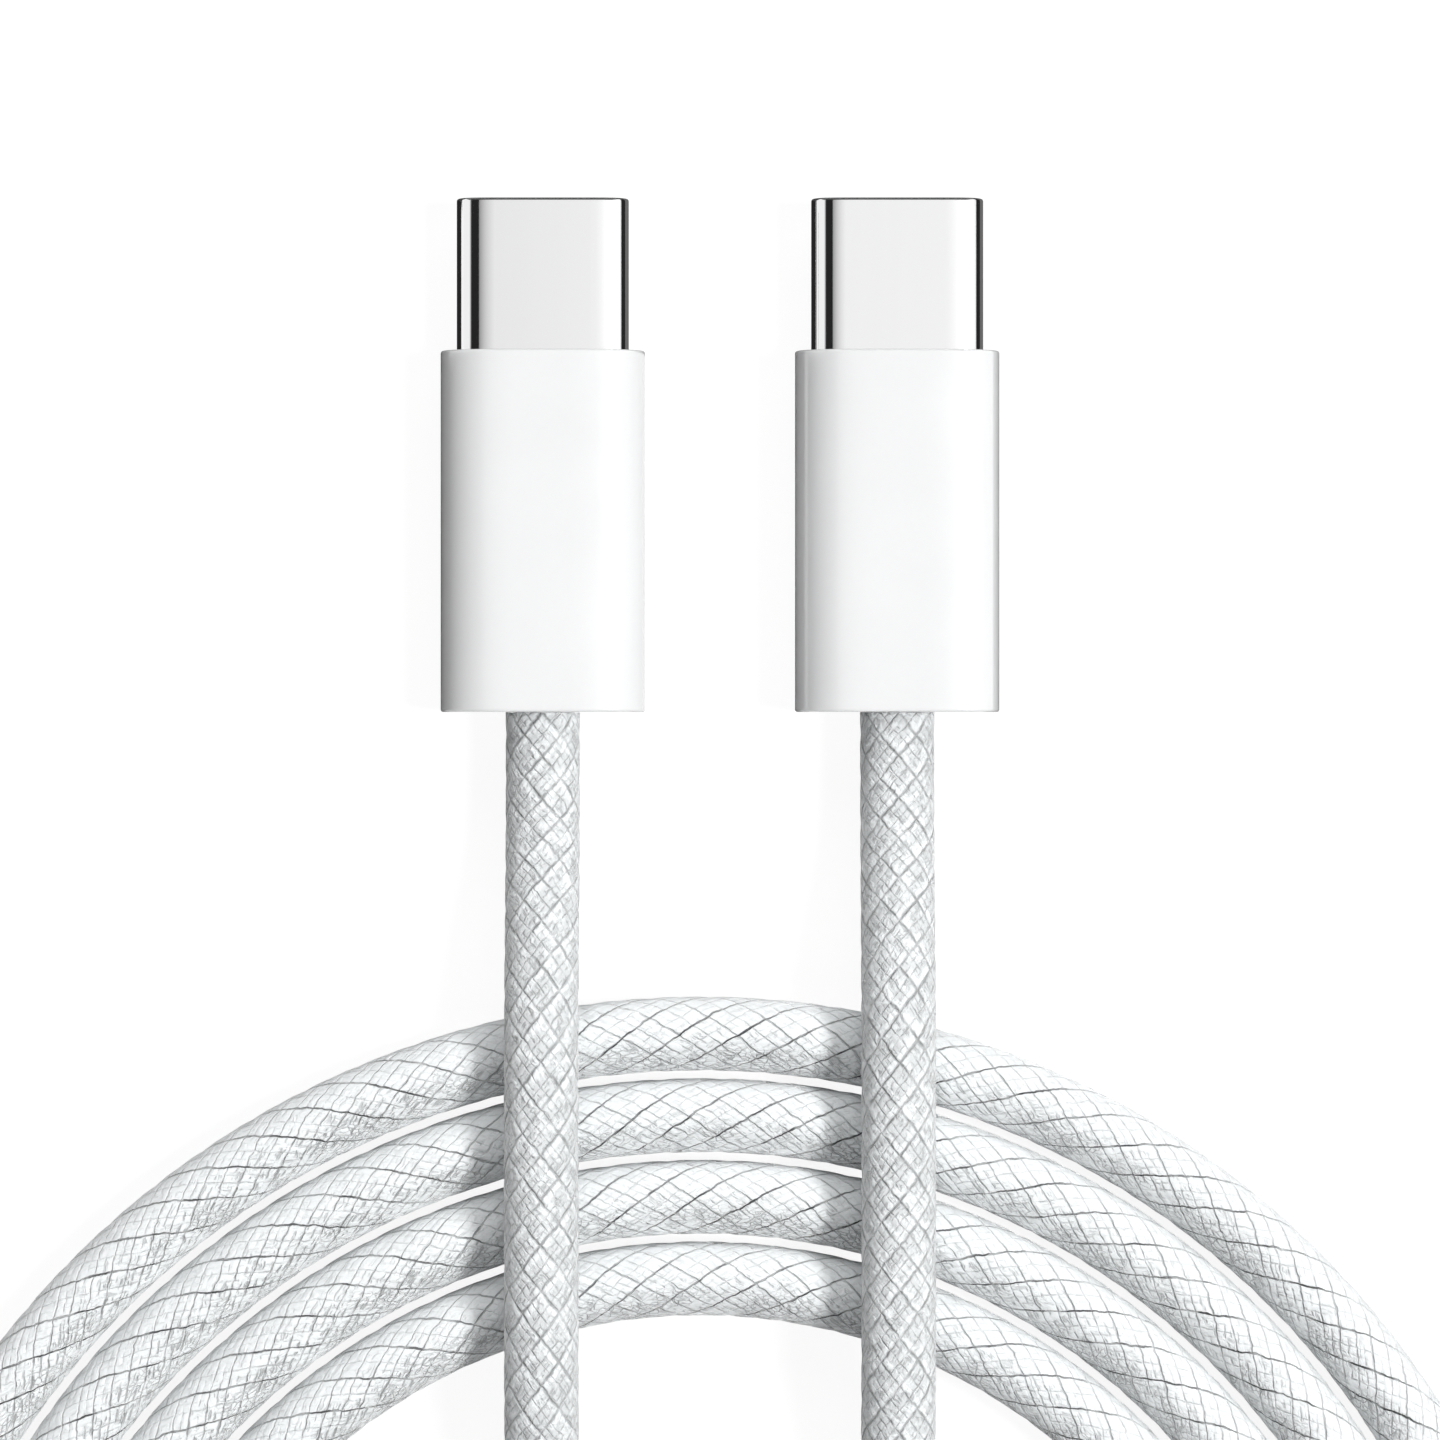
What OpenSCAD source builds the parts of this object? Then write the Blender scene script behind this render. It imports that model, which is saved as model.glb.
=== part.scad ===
// Charging cable with a woven sleeve, put away: two plugs lie side by side, and the cord between
// them is wound into a flat coil of four turns. Both leads cross over the coil to reach their plugs.
// +Y points out of the mouths of both plugs, +X runs from the left plug to the right one and +Z is up.
// The origin is on the surface that the cable lies on, under the middle of the pair of plugs.
// All sizes are in millimetres and all angles in degrees.

/* [Plug shell] */
// Outside width of the metal shell
shell_w = 8.25; // [8.2:0.05:9]
// Outside height of the metal shell
shell_h = 2.4; // [2.35:0.05:2.8]
// Thickness of the drawn metal
shell_wall = 0.2; // [0.15:0.01:0.25]
// Length of shell that stands out of the housing
shell_reach = 7.3; // [6.6:0.1:9]
// Length of shell that is held inside the housing
shell_grip = 4; // [3.6:0.1:4.6]
// Outer radius that rounds the lip of the mouth
lip_round = 0.12; // [0.06:0.01:0.14]

/* [Housing] */
// Reach of the housing beyond the shell, at each side
housing_side = 0.775; // [0.72:0.005:1.8]
// Reach of the housing above and below the cord
housing_rise = 0.6; // [0.52:0.02:1.2]
// Length of the housing along the plug
housing_l = 17.3; // [15.5:0.1:20]
// Thickness of the housing's side walls
housing_wall = 0.4; // [0.3:0.05:0.45]
// Thickness of the housing's rear wall, round the cord
rear_wall = 0.6; // [0.4:0.1:0.8]
// Radius of the housing's front and rear edges
edge_round = 0.25; // [0.1:0.05:0.25]
// Thickness of the plate that closes the front
front_plate_t = 0.6; // [0.4:0.1:0.9]

/* [Contact block] */
// Wall of the contact block at each side of the slot for the socket's tongue
cheek_w = 0.445; // [0.38:0.005:0.55]
// Height of the slot
slot_h = 0.9; // [0.8:0.05:0.95]
// Depth of the slot
slot_depth = 6.2; // [5.6:0.1:6.8]
// Thickness of the wall behind the slot
slot_floor_t = 0.5; // [0.4:0.05:0.8]
// Setback of the contact block from the mouth
block_setback = 0.3; // [0.2:0.05:0.5]
// Distance between neighbouring contact places
contact_pitch = 0.5; // [0.48:0.01:0.52]
// Width of one contact
contact_w = 0.25; // [0.18:0.01:0.28]
// Thickness of the contact strip
contact_t = 0.15; // [0.1:0.01:0.16]
// How far a contact's tip stands into the slot
contact_dip = 0.15; // [0.1:0.01:0.2]
// Length of a contact's springy arm
contact_arm_l = 2.6; // [2:0.1:3.4]
// Length of the bent tip at the end of the arm
contact_tip_l = 0.6; // [0.4:0.05:0.8]
// Thickness of the latch plate
latch_t = 0.25; // [0.15:0.05:0.3]
// Width of a latch arm
latch_arm_w = 0.3; // [0.25:0.01:0.32]
// How far a latch hook stands into the slot
latch_hook = 0.2; // [0.1:0.05:0.3]
// Thickness of the ground springs
spring_t = 0.1; // [0.08:0.01:0.12]
// Length of a ground spring's plate
spring_l = 2.3; // [1.8:0.1:3]
// Width of the block's flat that stays bare at each side of a ground spring
spring_margin = 0.025; // [0:0.005:0.3]
// Width of a ground spring's finger
finger_w = 1; // [0.6:0.05:1.2]
// Length of the window that a finger bends into
finger_l = 0.85; // [0.8:0.05:1]

/* [Board] */
// Width of the paddle card
card_w = 6.6; // [6.2:0.1:7]
// Thickness of the paddle card
card_t = 0.6; // [0.4:0.05:0.8]
// Length of a contact's tail on the card
tail_l = 1.1; // [0.8:0.1:1.6]
// Length of a capacitor; it is half as wide and half as high
capacitor_l = 1; // [0.6:0.1:1.2]
// Length of bare card under the end of each wire
wire_land = 1.8; // [1:0.1:2.2]
// Length in which the wires spread behind the card
wire_room = 2; // [1.5:0.1:2.6]

/* [Shield] */
// Thickness of the shield can's sheet
can_t = 0.15; // [0.1:0.01:0.16]
// Length of shell that the can grips
can_grip = 1.6; // [1:0.1:2]
// Length of the crimped ferrule
ferrule_l = 2.3; // [1.6:0.1:2.4]
// Thickness of the ferrule
ferrule_t = 0.15; // [0.1:0.01:0.2]
// Distance from the ferrule to the housing's rear end
ferrule_setback = 1.42; // [1:0.02:1.8]

/* [Cord] */
// Outside diameter of the cord
cord_d = 3.6; // [3.2:0.1:3.7]
// Thickness of the woven sleeve
sleeve_t = 0.3; // [0.25:0.05:0.35]
// Thickness of the jacket under the sleeve
jacket_t = 0.4; // [0.3:0.05:0.4]
// Thickness of the shielding braid under the jacket
braid_t = 0.15; // [0.1:0.01:0.16]
// Diameter of the insulated power and ground wires
power_wire_d = 0.72; // [0.6:0.02:0.74]
// Diameter of the insulated signal wires
signal_wire_d = 0.4; // [0.3:0.02:0.42]

/* [Layout] */
// Distance between the middles of the two plugs
plug_spacing = 17; // [15:0.5:18]
// Radius of the first turn of the coil where it starts
coil_r = 27; // [26.8:0.1:27.2]
// Gap between neighbouring turns of the coil
turn_gap = 0.32; // [0.3:0.01:0.36]
// Depth by which the near side of the coil is flattened
flat_depth = 7; // [6.8:0.1:7.2]

/* [Fit] */
// Clearance between pieces that are pushed together
fit = 0.03; // [0.01:0.005:0.035]

/* [Hidden] */
$fn = 48;
EPS = 0.01;
// How far a cut runs past the face that it opens
past = 1;
SIDES = [["left", -1], ["right", 1]];
PLUG_PIECES = [
    "housing", "front_plate", "shell", "insulator", "upper_contacts", "lower_contacts",
    "upper_wafer", "lower_wafer", "latch_plate", "upper_ground_spring", "lower_ground_spring",
    "paddle_card", "capacitors", "upper_can", "lower_can", "inner_mould", "ferrule",
    "sleeve_end", "jacket_end", "braid_end", "power_wire", "ground_wire", "control_wire", "data_wires"
];

// Distances between pieces that don't touch
gap = 0.1;
wide_gap = 3 * gap;

// Places along the plug: from the mouth back to the wafer block, then from the rear end to the card
mouth_y = (housing_l + shell_reach) / 2;
front_y = mouth_y - shell_reach;
rear_y = front_y - housing_l;
mould_front_y = front_y - front_plate_t - fit;
mould_rear_y = rear_y + rear_wall + fit;
shell_rear_y = front_y - shell_grip;
block_front_y = mouth_y - block_setback;
slot_floor_y = block_front_y - slot_depth;
block_rear_y = slot_floor_y - slot_floor_t;
wafer_front_y = block_rear_y - fit;
wafer_rear_y = shell_rear_y + gap;
card_front_y = wafer_rear_y - fit;
ferrule_rear_y = rear_y + ferrule_setback;
ferrule_front_y = ferrule_rear_y + ferrule_l;
can_rear_y = ferrule_front_y + gap;
can_inner_rear_y = can_rear_y + can_t;
can_front_y = shell_rear_y + can_grip;
card_rear_y = can_inner_rear_y + wire_room;
tail_rear_y = card_front_y - wide_gap - gap - tail_l;

// Windows of the fingers and the latch and grooves of the contacts, from the front of the block
finger_window_setback = 0.45;
latch_window_setback = 0.8;
groove_setback = 0.15;
finger_window_front_y = block_front_y - finger_window_setback;
finger_window_rear_y = finger_window_front_y - finger_l;
spring_rear_y = finger_window_front_y + gap - spring_l;
groove_front_y = finger_window_rear_y - groove_setback;
contact_front_y = groove_front_y - groove_setback;
latch_window_front_y = block_front_y - latch_window_setback;
latch_front_y = latch_window_front_y - gap;

// Sizes across the plug
housing_w = shell_w + 2 * housing_side;
housing_h = cord_d + 2 * housing_rise;
cavity_w = housing_w - 2 * housing_wall;
cavity_h = housing_h - 2 * housing_wall;
bore_w = shell_w - 2 * shell_wall;
bore_h = shell_h - 2 * shell_wall;
block_w = bore_w - 2 * fit;
block_h = bore_h - 2 * fit;
slot_w = block_w - 2 * cheek_w;
spring_w = block_w - block_h - 2 * spring_margin;
finger_places = [-spring_w / 3, spring_w / 3];
finger_window_w = finger_w + 2 * gap;
can_bore_w = shell_w + 2 * fit;
can_bore_h = shell_h + 2 * fit;
can_w = can_bore_w + 2 * can_t;
can_h = can_bore_h + 2 * can_t;
card_l = card_front_y - card_rear_y;
spring_floor_z = block_h / 2 - spring_t - fit;
contact_recess = 0.08;
beam_z = slot_h / 2 + contact_recess + contact_t / 2;
tail_z = card_t / 2 + contact_t / 2;
tip_z = slot_h / 2 - contact_dip + contact_t / 2;
groove_w = contact_w + contact_recess;
groove_z = beam_z + contact_t / 2 + fit;
arm_in_x = slot_w / 2 + contact_recess / 2;
arm_out_x = arm_in_x + latch_arm_w;

// Layers of the cord
sleeve_r = cord_d / 2;
jacket_r = sleeve_r - sleeve_t;
braid_r = jacket_r - jacket_t;
core_r = braid_r - braid_t;
ferrule_r = jacket_r + fit + ferrule_t;
wire_gap = 0.02;
power_x = (power_wire_d + wire_gap) / 2;
power_z = 0.1;
signal_reach = (power_wire_d + signal_wire_d) / 2 + wire_gap;
control_z = power_z + sqrt(pow(signal_reach, 2) - pow(power_x, 2));
data_x = (signal_wire_d + wire_gap) / 2;
data_z = power_z - sqrt(pow(signal_reach, 2) - pow(power_x - data_x, 2));

// Places of the wires on the card, from its middle
power_land_x = 1.7;
data_land_x = 1.2;
control_land_x = 0.6;
power_land_z = (card_t + power_wire_d) / 2;
signal_land_z = (card_t + signal_wire_d) / 2;

// Contact places that a charging and data cable fills, numbered from the left
CONTACT_PLACES = 12;
UPPER_PLACES = [1, 4, 5, 6, 7, 9, 12];
LOWER_PLACES = [1, 4, 8, 9, 12];

// Coil: centre and angles at which its first turn starts and its last turn ends
coil_centre = [-0.3, -68.3];
coil_start_a = -75;
coil_end_a = 1320;
coil_steps_per_turn = 24;
coil_sides = 6;
// Turned so that the flat sides of neighbouring turns face each other
coil_turn = 180 / coil_sides;
lead_sides = 8;
turn_pitch = cord_d + turn_gap;

// Height of the cord's middle: 0 where it lies on the surface and 1 where it lies on the coil
cross_gap = 0.1;
function level(rise) = cord_d / 2 + rise * (cord_d + cross_gap);

// Straight stretch of each lead, from behind the plug over the coil's far side: [y, rise]
LEAD_RUN = [
    [-19, 0.27], [-22, 0.54], [-25, 0.81], [-28, 0.97], [-31, 1], [-36, 1], [-42, 1],
    [-45, 0.9], [-48, 0.68], [-51, 0.38], [-54, 0.14], [-57, 0.03]
];
// Rest of the left lead, which curves inside the coil to the start of the first turn: [x, y, rise]
LEFT_TAIL = [
    [-8.7, -60.5, 0], [-9.6, -64.5, 0], [-11, -68.5, 0], [-12.2, -72.5, 0], [-12.6, -76.6, 0],
    [-11.8, -80.5, 0], [-9.7, -84, 0], [-6.5, -86.6, 0], [-2.6, -88.1, 0]
];
// Rest of the right lead, which crosses the coil's near side to the end of the last turn: [x, y, rise]
RIGHT_TAIL = [
    [8.5, -60, 0], [8.5, -66, 0], [8.5, -70, 0], [8.5, -73, 0.05], [8.5, -76, 0.22], [8.5, -79, 0.49],
    [8.5, -82, 0.76], [8.5, -85, 0.95], [8.5, -88, 1], [8.3, -92, 1], [7.4, -95.3, 1], [5.6, -98.4, 1],
    [3.1, -101, 0.95], [-0.1, -103, 0.76], [-3.3, -104, 0.51], [-7.3, -104.1, 0.24], [-11.3, -103.2, 0.05]
];

// ---- Helpers for shapes ----

// Flat oval with full round ends, its width along X
module oval(w, h) {
    square([w - h, h], center = true);
    for (end = [-1, 1]) translate([end * (w - h) / 2, 0]) circle(d = h);
}

// Extrudes an XZ outline along Y, from y0 to y1
module along_y(y0, y1) {
    translate([0, y1, 0]) rotate([90, 0, 0]) linear_extrude(y1 - y0) children();
}

// Extrudes a YZ outline across X, w wide and centred on x
module across_x(x, w) {
    translate([x - w / 2, 0, 0]) rotate([90, 0, 90]) linear_extrude(w) children();
}

// Sweeps a profile, drawn as [distance from the middle line, y], round a flat oval w wide and h high
module round_oval(w, h) {
    half = (w - h) / 2;
    translate([half, 0, 0]) rotate([-90, 0, 0]) rotate([0, 0, -90]) rotate_extrude(angle = 180) children();
    translate([-half, 0, 0]) rotate([-90, 0, 0]) rotate([0, 0, 90]) rotate_extrude(angle = 180) children();
    translate([half, 0, 0]) rotate([0, -90, 0]) linear_extrude(2 * half) children();
    translate([-half, 0, 0]) rotate([0, 90, 0]) linear_extrude(2 * half) children();
}

// Points of an arc, for a rounded edge in a profile
function arc(centre, r, a0, a1, n = 6) =
    [for (i = [0:n]) centre + r * [cos(a0 + (a1 - a0) * i / n), sin(a0 + (a1 - a0) * i / n)]];

// Outline of a strip of thickness t whose middle follows a list of [y, z] points
function strip(path, t) = concat(
    [for (p = path) p + [0, t / 2]],
    [for (i = [len(path) - 1:-1:0]) path[i] - [0, t / 2]]
);

// Ring round the plug's long axis, from y0 to y1
module ring(outer_r, inner_r, y0, y1) {
    along_y(y0, y1) difference() {
        circle(outer_r);
        circle(inner_r);
    }
}

function contact_x(place) = (place - (CONTACT_PLACES + 1) / 2) * contact_pitch;

// ---- Pieces of one plug, drawn round its own long axis ----

module housing() {
    outer = housing_h / 2;
    color("white") difference() {
        round_oval(housing_w, housing_h) polygon(concat(
            [[0, rear_y]],
            arc([outer - edge_round, rear_y + edge_round], edge_round, -90, 0),
            arc([outer - edge_round, front_y - edge_round], edge_round, 0, 90),
            [[cavity_h / 2, front_y], [cavity_h / 2, rear_y + rear_wall], [0, rear_y + rear_wall]]
        ));
        along_y(rear_y - past, rear_y + rear_wall + past) circle(sleeve_r + fit);
    }
}

module front_plate() {
    color("white") along_y(front_y - front_plate_t, front_y) difference() {
        oval(cavity_w - 2 * fit, cavity_h - 2 * fit);
        oval(shell_w + 2 * fit, shell_h + 2 * fit);
    }
}

module shell() {
    inner_round = shell_wall - lip_round;
    color("silver") round_oval(shell_w, shell_h) polygon(concat(
        [[bore_h / 2, shell_rear_y], [shell_h / 2, shell_rear_y]],
        arc([shell_h / 2 - lip_round, mouth_y - lip_round], lip_round, 0, 90),
        arc([bore_h / 2 + inner_round, mouth_y - inner_round], inner_round, 90, 180)
    ));
}

module insulator() {
    color("dimgray") difference() {
        along_y(block_rear_y, block_front_y) oval(block_w, block_h);
        along_y(slot_floor_y, block_front_y + past) square([slot_w, slot_h], center = true);
        for (up = [0, 1]) mirror([0, 0, up]) {
            contact_grooves();
            ground_spring_seat();
        }
        for (side = [0, 1]) mirror([side, 0, 0]) latch_window();
    }
}

module contact_grooves() {
    for (place = [1:CONTACT_PLACES])
        translate([contact_x(place) - groove_w / 2, block_rear_y - past, slot_h / 2 - EPS])
            cube([groove_w, groove_front_y - block_rear_y + past, groove_z - slot_h / 2 + EPS]);
}

module ground_spring_seat() {
    seat_w = spring_w + 2 * fit;
    translate([-seat_w / 2, spring_rear_y - fit, spring_floor_z])
        cube([seat_w, spring_l + 2 * fit, block_h]);
    for (x = finger_places)
        translate([x - finger_window_w / 2, finger_window_rear_y, 0])
            cube([finger_window_w, finger_l, block_h]);
}

module latch_window() {
    window_h = latch_t + gap;
    translate([slot_w / 2 - EPS, block_rear_y - past, -window_h / 2])
        cube([block_w, latch_window_front_y - block_rear_y + past, window_h]);
}

module contact(place) {
    across_x(contact_x(place), contact_w) polygon(strip([
        [tail_rear_y, tail_z], [tail_rear_y + tail_l, tail_z], [card_front_y - fit, beam_z],
        [contact_front_y - contact_arm_l, beam_z], [contact_front_y - contact_tip_l, tip_z],
        [contact_front_y - contact_tip_l / 2, tip_z], [contact_front_y, tip_z + contact_tip_l / 4]
    ], contact_t));
}

module upper_contacts() {
    color("goldenrod") for (place = UPPER_PLACES) contact(place);
}

module lower_contacts() {
    color("goldenrod") mirror([0, 0, 1]) for (place = LOWER_PLACES) contact(place);
}

// Half of the wafer block above the latch plate, with a passage for each contact that it holds
module wafer(places) {
    color("gray") along_y(wafer_rear_y, wafer_front_y) difference() {
        intersection() {
            oval(block_w, block_h);
            translate([-block_w / 2, latch_t / 2 + fit]) square([block_w, block_h]);
        }
        for (place = places)
            translate([contact_x(place), beam_z])
                square([contact_w + 2 * EPS, contact_t + 2 * EPS], center = true);
    }
}

module upper_wafer() {
    wafer(UPPER_PLACES);
}

module lower_wafer() {
    mirror([0, 0, 1]) wafer(LOWER_PLACES);
}

module latch_plate() {
    plate_rear_y = wafer_rear_y + wide_gap;
    plate_front_y = wafer_front_y - wide_gap;
    hook_x = slot_w / 2 - latch_hook;
    hook_tip_y = latch_front_y - 1.5 * latch_hook;
    right_half = [
        [arm_out_x, plate_rear_y], [arm_out_x, latch_front_y], [hook_x + latch_hook, latch_front_y],
        [hook_x, hook_tip_y], [hook_x, hook_tip_y - latch_hook], [arm_in_x, hook_tip_y - 3.5 * latch_hook],
        [arm_in_x, plate_front_y]
    ];
    left_half = [for (i = [len(right_half) - 1:-1:0]) [-right_half[i].x, right_half[i].y]];
    color("lightgray") translate([0, 0, -latch_t / 2]) linear_extrude(latch_t)
        polygon(concat(right_half, left_half));
}

module ground_spring() {
    plate_z = spring_floor_z + spring_t / 2;
    root_y = finger_window_rear_y + fit;
    low_z = slot_h / 2 - 0.6 * spring_t;
    color("silver") {
        difference() {
            translate([-spring_w / 2, spring_rear_y, spring_floor_z]) cube([spring_w, spring_l, spring_t]);
            for (x = finger_places)
                translate([x - finger_window_w / 2, root_y, spring_floor_z - spring_t])
                    cube([finger_window_w, finger_l - fit, 3 * spring_t]);
        }
        for (x = finger_places) across_x(x, finger_w) polygon(strip([
            [root_y - EPS, plate_z], [root_y + fit, plate_z], [root_y + finger_l / 2, low_z],
            [root_y + finger_l - gap, low_z + 1.5 * spring_t]
        ], spring_t));
    }
}

module upper_ground_spring() {
    ground_spring();
}

module lower_ground_spring() {
    mirror([0, 0, 1]) ground_spring();
}

module paddle_card() {
    color("darkgreen") translate([-card_w / 2, card_rear_y, -card_t / 2]) cube([card_w, card_l, card_t]);
}

module capacitors() {
    middle_y = (tail_rear_y + card_rear_y + wire_land) / 2;
    color("peru") for (side = [-1, 1])
        translate([side * card_w / 4 - capacitor_l / 2, middle_y - capacitor_l / 4, card_t / 2])
            cube([capacitor_l, capacitor_l / 2, capacitor_l / 2]);
}

// Half of the shield can above the seam, with its rear wall
module can_half() {
    color("silver") difference() {
        along_y(can_rear_y, can_front_y) upper_half_oval(can_w, can_h);
        along_y(can_inner_rear_y, can_front_y + past) oval(can_bore_w, can_bore_h);
        along_y(can_rear_y - past, can_inner_rear_y + past) circle(braid_r + fit);
    }
}

module upper_half_oval(w, h) {
    intersection() {
        oval(w, h);
        translate([-w / 2, fit / 2]) square([w, h]);
    }
}

module upper_can() {
    can_half();
}

module lower_can() {
    mirror([0, 0, 1]) can_half();
}

module inner_mould() {
    color("whitesmoke") difference() {
        along_y(mould_rear_y, mould_front_y) oval(cavity_w - 2 * fit, cavity_h - 2 * fit);
        along_y(can_rear_y - fit, can_front_y + fit) oval(can_w + 2 * fit, can_h + 2 * fit);
        along_y(can_front_y - past, mould_front_y + past) oval(shell_w + 2 * fit, shell_h + 2 * fit);
        along_y(ferrule_rear_y - fit, can_rear_y + past) circle(ferrule_r + fit);
        along_y(mould_rear_y - past, ferrule_rear_y) circle(sleeve_r + fit);
    }
}

module ferrule() {
    color("silver") ring(ferrule_r, jacket_r + fit, ferrule_rear_y, ferrule_front_y);
}

module sleeve_end() {
    color("white") ring(sleeve_r, jacket_r + EPS, rear_y, ferrule_rear_y - fit);
}

module jacket_end() {
    color("whitesmoke") ring(jacket_r, braid_r + EPS, rear_y, ferrule_front_y);
}

module braid_end() {
    color("silver") ring(braid_r, core_r, rear_y, can_inner_rear_y + wide_gap);
}

// A wire runs straight out of the cord, then spreads to its place on the paddle card
module core_wire(start, end_x, end_z, d) {
    spread_y = can_inner_rear_y + wide_gap + gap;
    land_y = card_rear_y - gap;
    path = [
        [start.x, rear_y, start[1]], [start.x, spread_y, start[1]],
        [end_x, land_y, end_z], [end_x, card_rear_y + wire_land, end_z]
    ];
    tube(path, d, 12);
}

module power_wire() {
    color("firebrick") core_wire([-power_x, power_z], -power_land_x, power_land_z, power_wire_d);
}

module ground_wire() {
    color("black") core_wire([power_x, power_z], power_land_x, power_land_z, power_wire_d);
}

module control_wire() {
    color("royalblue") core_wire([0, control_z], control_land_x, signal_land_z, signal_wire_d);
}

module data_wires() {
    color("seagreen") for (side = [-1, 1])
        core_wire([side * data_x, data_z], side * data_land_x, -signal_land_z, signal_wire_d);
}

// ---- Cord ----

function coil_point(a) =
    let (r = coil_r + turn_pitch * (a - coil_start_a) / 360 - flat_depth * pow(min(0, sin(a)), 2))
    [coil_centre.x + r * cos(a), coil_centre.y + r * sin(a), level(0)];

function unit(v) = v / norm(v);
function coil_heading(a) = unit(coil_point(a + 0.01) - coil_point(a - 0.01));

coil_step = 360 / coil_steps_per_turn;
coil_in = coil_point(coil_start_a) - cord_d * coil_heading(coil_start_a);
coil_out = coil_point(coil_end_a) + cord_d * coil_heading(coil_end_a);
coil_path = concat([coil_in], [for (a = [coil_start_a:coil_step:coil_end_a]) coil_point(a)], [coil_out]);

function lead_exit(side) = [
    [side * plug_spacing / 2, rear_y, housing_h / 2],
    [side * plug_spacing / 2, rear_y - cord_d, housing_h / 2]
];
function lead_run(side) = [for (p = LEAD_RUN) [side * plug_spacing / 2, p[0], level(p[1])]];
function lead_tail(tail) = [for (p = tail) [p.x, p.y, level(p[2])]];

left_path = concat(lead_exit(-1), lead_run(-1), lead_tail(LEFT_TAIL), [coil_in]);
right_path = concat(lead_exit(1), lead_run(1), lead_tail(RIGHT_TAIL), [coil_out]);

// Direction of a path at one of its points, square to its end faces
function heading(path, i) =
    i == 0 ? unit(path[1] - path[0]) :
    i == len(path) - 1 ? unit(path[i] - path[i - 1]) :
    unit(unit(path[i + 1] - path[i]) + unit(path[i] - path[i - 1]));

// Points of one ring of a tube, whose flats or corners face the side as turn says
function ring_points(centre, along, d, sides, turn) =
    let (side = unit(cross(along, [0, 0, 1])), up = cross(side, along))
    [for (k = [0:sides - 1]) let (a = turn + 360 * k / sides)
        centre + d / 2 * (cos(a) * side + sin(a) * up)];

// Rings of a tube through a path; ends gives the directions that its two end faces are square to
function tube_rings(path, d, sides, turn, ends) = [
    for (i = [0:len(path) - 1]) let (
        along = i == 0 ? ends[0] : i == len(path) - 1 ? ends[1] : heading(path, i)
    ) ring_points(path[i], along, d, sides, turn)
];

function path_ends(path) = [heading(path, 0), heading(path, len(path) - 1)];

// Closed tube of diameter d through a path, with a flat underside unless turn says otherwise
module tube(path, d, sides, ends = undef, turn = undef) {
    rings = tube_rings(
        path, d, sides, is_undef(turn) ? 180 / sides : turn, is_undef(ends) ? path_ends(path) : ends);
    last = len(path) - 1;
    walls = [for (i = [0:last - 1]) for (k = [0:sides - 1])
        let (a = i * sides + k, b = i * sides + (k + 1) % sides)
            each [[a, b, b + sides], [a, b + sides, a + sides]]];
    caps = [for (k = [1:sides - 2])
        each [[0, k + 1, k], [last * sides, last * sides + k, last * sides + k + 1]]];
    polyhedron(points = [for (ring = rings) each ring], faces = concat(walls, caps), convexity = 10);
}

coil_ends = [coil_heading(coil_start_a), coil_heading(coil_end_a)];

module cord_lead_left() {
    color("white") tube(left_path, cord_d, lead_sides, [[0, -1, 0], coil_ends[0]]);
}

module cord_lead_right() {
    color("white") tube(right_path, cord_d, lead_sides, [[0, -1, 0], -coil_ends[1]]);
}

module cord_coil() {
    color("white") tube(coil_path, cord_d, coil_sides, coil_ends, coil_turn);
}

// Least gap between neighbouring turns, measured between the points of their rings
coil_rings = tube_rings(coil_path, cord_d, coil_sides, coil_turn, coil_ends);
least_gap = min([
    for (i = [0:len(coil_rings) - coil_steps_per_turn])
        for (j = [i + coil_steps_per_turn - 2:min(i + coil_steps_per_turn + 2, len(coil_rings) - 1)])
            for (p = coil_rings[i]) for (q = coil_rings[j]) norm(p - q)
]);
echo(least_gap_between_turns = least_gap);

// ---- Assembly ----

// Puts a piece of a plug in its place, lying on the surface
module at_plug(side) {
    translate([side[1] * plug_spacing / 2, 0, housing_h / 2]) children();
}

for (side = SIDES) {
    at_plug(side) housing();
    at_plug(side) front_plate();
    at_plug(side) shell();
    at_plug(side) insulator();
    at_plug(side) upper_contacts();
    at_plug(side) lower_contacts();
    at_plug(side) upper_wafer();
    at_plug(side) lower_wafer();
    at_plug(side) latch_plate();
    at_plug(side) upper_ground_spring();
    at_plug(side) lower_ground_spring();
    at_plug(side) paddle_card();
    at_plug(side) capacitors();
    at_plug(side) upper_can();
    at_plug(side) lower_can();
    at_plug(side) inner_mould();
    at_plug(side) ferrule();
    at_plug(side) sleeve_end();
    at_plug(side) jacket_end();
    at_plug(side) braid_end();
    at_plug(side) power_wire();
    at_plug(side) ground_wire();
    at_plug(side) control_wire();
    at_plug(side) data_wires();
}
cord_lead_left();
cord_coil();
cord_lead_right();
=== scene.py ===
import math

import bmesh
import bpy
import numpy as np
from bpy.props import (
    FloatProperty,
    FloatVectorProperty,
    IntProperty,
    PointerProperty,
)
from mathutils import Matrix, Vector


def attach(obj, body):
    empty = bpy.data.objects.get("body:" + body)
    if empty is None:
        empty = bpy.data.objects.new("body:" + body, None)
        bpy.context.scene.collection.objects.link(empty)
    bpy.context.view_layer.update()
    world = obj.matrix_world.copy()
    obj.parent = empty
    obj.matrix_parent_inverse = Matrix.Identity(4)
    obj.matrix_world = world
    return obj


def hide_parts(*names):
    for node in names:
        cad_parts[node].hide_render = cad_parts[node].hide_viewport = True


bl_info = {
    "name": "Woven charging cable",
    "version": (1, 0, 0),
    "blender": (4, 5, 0),
    "location": "3D View > Sidebar > Cable",
    "description": "Dresses the charging cable's plugs, lays its woven cord and sets its stage",
    "category": "Object",
}

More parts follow.
